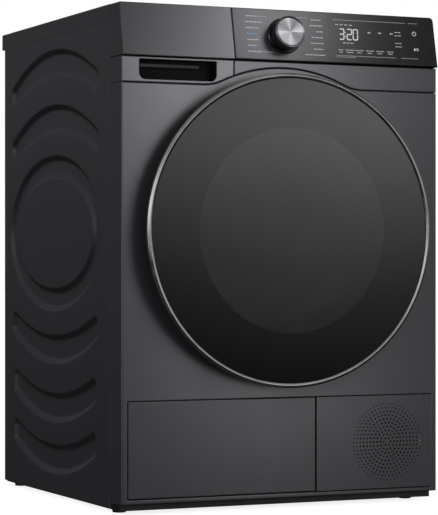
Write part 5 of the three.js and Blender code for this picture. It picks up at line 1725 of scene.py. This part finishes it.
class DRYER_OT_prints(Builder, bpy.types.Operator):
    """Prints: programme marks round the knob, the display's digits, signs and option marks"""

    bl_idname = "dryer.prints"
    bl_label = "Prints"

    def execute(self, context):
        white, lit, blue = Shape(), Shape(), Shape()
        for row, (left, right) in enumerate(zip(PROGRAMMES_LEFT, PROGRAMMES_RIGHT)):
            up = PROGRAMME_TOP - row * PROGRAMME_PITCH
            shape = blue if row == MARKED_PROGRAMME else white
            self.dashes(shape, -70 + (30 - left) * 0.2, up, left, 1.9)
            self.dashes(white, 76 - right, up - 1.5, right, 1.9)
        for x0, x1, up in RULES:
            self.bar(white, x0, x1, up, RULE_TALL)
        self.digits(lit)
        self.signs(lit)
        self.option_marks(white)
        marks = (
            (white, "printed_marks", "print_white"),
            (lit, "lit_signs", "print_lit"),
            (blue, "marked_programme", "print_blue"),
        )
        for shape, name, finish in marks:
            finish_piece(piece_from(name, shape), finish, "cabinet", "console_plastic")
        return {"FINISHED"}

    def bar(self, shape, x0, x1, up, tall):
        """A thin upright-ended mark on the console's face."""
        low, high = (up - tall / 2) * MM, (up + tall / 2) * MM
        self.slab(shape, [(x0 * MM, low), (x1 * MM, low), (x1 * MM, high), (x0 * MM, high)])

    def slab(self, shape, outline):
        """A mark with a given outline, standing a little proud of the console's face."""
        front = shape.ring(on_console(u, v, -PRINT_PROUD) for u, v in outline)
        foot = shape.ring(on_console(u, v, -PRINT_FOOT) for u, v in outline)
        shape.bridge(front, foot)
        shape.faces.append(tuple(front))
        shape.faces.append(tuple(reversed(foot)))

    def dashes(self, shape, x, up, wide, tall):
        """A row of short marks that stands for printed words."""
        for place in range(max(2, round(wide / DASH_PITCH))):
            left = x + place * DASH_PITCH
            self.bar(shape, left, left + DASH_WIDE, up, tall * (0.75 if place % 3 else 1.0))

    def digits(self, shape):
        """Three seven-segment digits and a colon."""
        foot, middle = DIGIT_FOOT, DIGIT_FOOT + DIGIT_TALL / 2
        flat = {"a": foot + DIGIT_TALL, "g": middle, "d": foot}
        upright = {"f": (0, middle), "b": (DIGIT_WIDE, middle), "e": (0, foot), "c": (DIGIT_WIDE, foot)}
        for x, lit in DIGITS:
            for name in lit:
                if name in flat:
                    up = flat[name]
                    left = x + DIGIT_GAP + DIGIT_LEAN * (up - foot)
                    right = x + DIGIT_WIDE - DIGIT_GAP + DIGIT_LEAN * (up - foot)
                    ends = [(left, up), (right, up)]
                else:
                    dx, low = upright[name]
                    heights = (low + DIGIT_GAP, low + DIGIT_TALL / 2 - DIGIT_GAP)
                    ends = [(x + dx + DIGIT_LEAN * (up - foot), up) for up in heights]
                self.stroke(shape, ends, DIGIT_THICK)
        for up in (foot + 5.5, foot + 13):
            self.disc(shape, COLON_X, up, 1.0)

    def stroke(self, shape, ends, thick):
        """A straight stroke with pointed ends."""
        start, end = Vector(ends[0]), Vector(ends[1])
        along = (end - start).normalized() * thick / 2
        side = Vector((-along.y, along.x))
        tip = along * 0.9
        outline = [start - tip, start - side, end - side, end + tip, end + side, start + side]
        self.slab(shape, [(p.x * MM, p.y * MM) for p in outline])

    def disc(self, shape, x, up, radius):
        """A round mark."""
        self.slab(shape, ellipse((x * MM, up * MM), radius * MM, radius * MM, 16))

    def signs(self, lit):
        """The power sign and the start sign."""
        ring = arc((256, 58.8), 3.6, math.radians(120), math.radians(420), 20)
        for one, other in zip(ring, ring[1:]):
            self.stroke(lit, [one, other], 0.8)
        self.stroke(lit, [(256, 59.5), (256, 63.6)], 0.8)
        play = [(253.2, 27.4), (257.4, 30.4), (253.2, 33.4)]
        self.slab(lit, [(u * MM, v * MM) for u, v in play])
        for x in (258.8, 261.0):
            self.stroke(lit, [(x, 28), (x, 32.8)], 0.9)

    def option_marks(self, white):
        """The small marks of the options, in rows round the digits."""
        for x, up, wide, tall in OPTION_ROWS:
            self.dashes(white, x, up, wide, tall)
        for x, wide in OPTION_NAMES:
            self.dashes(white, x, 24, wide, 1.5)
            self.dashes(white, x + 2, 20, wide - 5, 1.5)
        for up in OPTION_SIDE_HEIGHTS:
            self.dashes(white, 217, up, 13, 1.5)


class DRYER_OT_stage(Builder, bpy.types.Operator):
    """Stage: pale floor, white surroundings, soft lights and the camera"""

    bl_idname = "dryer.stage"
    bl_label = "Stage"

    def execute(self, context):
        self.floor()
        self.surroundings()
        self.lights()
        self.camera()
        return {"FINISHED"}

    def floor(self):
        """A pale floor that glows a little, so that it stays even to its far edges."""
        reach = FLOOR_REACH
        corners = [(-reach, -reach, 0), (reach, -reach, 0), (reach, reach, 0), (-reach, reach, 0)]
        floor = plain_object("floor", corners, faces=[(0, 1, 2, 3)])
        made, _, principled = shader("pale_floor", linear("#f4f4f4"), 0.0, 0.9)
        principled.inputs["Emission Color"].default_value = (1, 1, 1, 1)
        principled.inputs["Emission Strength"].default_value = FLOOR_GLOW
        floor.data.materials.append(made)
        # Reflections and bounced light leave the floor out, as if a dark apron lay before the dryer.
        floor.visible_glossy = False
        floor.visible_diffuse = False

    def surroundings(self):
        """White behind the dryer; elsewhere a room lit by one broad soft card in front, to the right."""
        scene = bpy.context.scene
        world = bpy.data.worlds.new("studio")
        scene.world = world
        world.use_nodes = True
        tree = world.node_tree
        tree.nodes.clear()
        heading = add(tree, "ShaderNodeTexCoord").outputs["Generated"]
        split = add(tree, "ShaderNodeSeparateXYZ", links={"Vector": heading})
        height = self.ramp(tree, split.outputs["Z"], -1, 1, ROOM_BY_HEIGHT)
        behind = compute(tree, "MULTIPLY", split.outputs["Y"], -1.0)
        around = compute(tree, "ARCTAN2", split.outputs["X"], behind)
        card = self.ramp(tree, around, -math.pi, math.pi, CARD_BY_HEADING)
        strength = compute(tree, "MULTIPLY", height, card)
        cool = (0.97, 0.98, 1, 1)
        room = add(tree, "ShaderNodeBackground", inputs={"Color": cool}, links={"Strength": strength})
        white = add(tree, "ShaderNodeBackground", inputs={"Color": (1, 1, 1, 1), "Strength": 1.0})
        path = add(tree, "ShaderNodeLightPath")
        mixed = add(
            tree,
            "ShaderNodeMixShader",
            links={
                0: path.outputs["Is Camera Ray"],
                1: room.outputs["Background"],
                2: white.outputs["Background"],
            },
        )
        add(tree, "ShaderNodeOutputWorld", links={"Surface": mixed.outputs["Shader"]})
        scene.view_settings.view_transform = "Standard"

    def ramp(self, tree, socket, low, high, stops):
        """A value read from (place, strength) stops, for strengths up to ROOM_PEAK."""
        grey = [(place, [strength / ROOM_PEAK] * 3) for place, strength in stops]
        ramp = ramp_between(tree, socket, low, high, grey)
        ramp.color_ramp.interpolation = "B_SPLINE"
        return compute(tree, "MULTIPLY", ramp.outputs["Color"], ROOM_PEAK)

    def lights(self):
        """Soft lamps, each for the pieces it is listed with."""
        for name, place, target, size, power, lit in LAMPS:
            lamp = bpy.data.lights.new(name, "AREA")
            lamp.size = size
            lamp.energy = power
            holder = bpy.data.objects.new(name, lamp)
            holder.location = place
            holder.rotation_euler = (Vector(target) - Vector(place)).to_track_quat("-Z", "Y").to_euler()
            bpy.context.scene.collection.objects.link(holder)
            receivers = bpy.data.collections.new(name + "_receivers")
            for piece in lit:
                receivers.objects.link(bpy.data.objects[piece])
            holder.light_linking.receiver_collection = receivers
            holder.visible_camera = False

    def camera(self):
        """A long lens, level, from the front and a little to the left."""
        lens = bpy.data.cameras.new("camera")
        lens.lens = LENS
        lens.shift_x, lens.shift_y = LENS_SHIFT
        camera = bpy.data.objects.new("camera", lens)
        camera.location = CAMERA_PLACE
        camera.rotation_euler = (math.pi / 2, 0, -math.radians(CAMERA_HEADING))
        bpy.context.scene.collection.objects.link(camera)
        bpy.context.scene.camera = camera


class DRYER_PT_panel(bpy.types.Panel):
    """Lists the dryer's pieces, sizes and finishes"""

    bl_idname = "DRYER_PT_panel"
    bl_label = "Tumble dryer"
    bl_space_type = "VIEW_3D"
    bl_region_type = "UI"
    bl_category = "Dryer"

    def draw(self, context):
        for operator in OPERATORS:
            self.layout.operator(operator.bl_idname)
        for group in (context.scene.dryer_sizes, context.scene.dryer_finishes):
            column = self.layout.column(align=True)
            for name in group.bl_rna.properties.keys():
                if name not in ("rna_type", "name"):
                    column.prop(group, name)


OPERATORS = (
    DRYER_OT_finishes,
    DRYER_OT_side_panels,
    DRYER_OT_front_panel,
    DRYER_OT_upper_strip,
    DRYER_OT_console,
    DRYER_OT_drawer,
    DRYER_OT_worktop,
    DRYER_OT_plinth,
    DRYER_OT_door,
    DRYER_OT_knob,
    DRYER_OT_prints,
    DRYER_OT_drum,
    DRYER_OT_bulkhead,
    DRYER_OT_rear,
    DRYER_OT_feet,
    DRYER_OT_tank,
    DRYER_OT_stage,
)
CLASSES = (DRYER_PG_sizes, DRYER_PG_finishes, *OPERATORS, DRYER_PT_panel)


def register():
    """Adds the add-on's classes, and its settings to the scene."""
    for one in CLASSES:
        bpy.utils.register_class(one)
    bpy.types.Scene.dryer_sizes = PointerProperty(type=DRYER_PG_sizes)
    bpy.types.Scene.dryer_finishes = PointerProperty(type=DRYER_PG_finishes)


def unregister():
    """Takes the settings and the classes away again."""
    del bpy.types.Scene.dryer_sizes
    del bpy.types.Scene.dryer_finishes
    for one in reversed(CLASSES):
        bpy.utils.unregister_class(one)


def main():
    """Builds the dryer."""
    register()
    for operator in OPERATORS:
        group, name = operator.bl_idname.split(".")
        getattr(getattr(bpy.ops, group), name)()


if __name__ == "__main__":
    main()
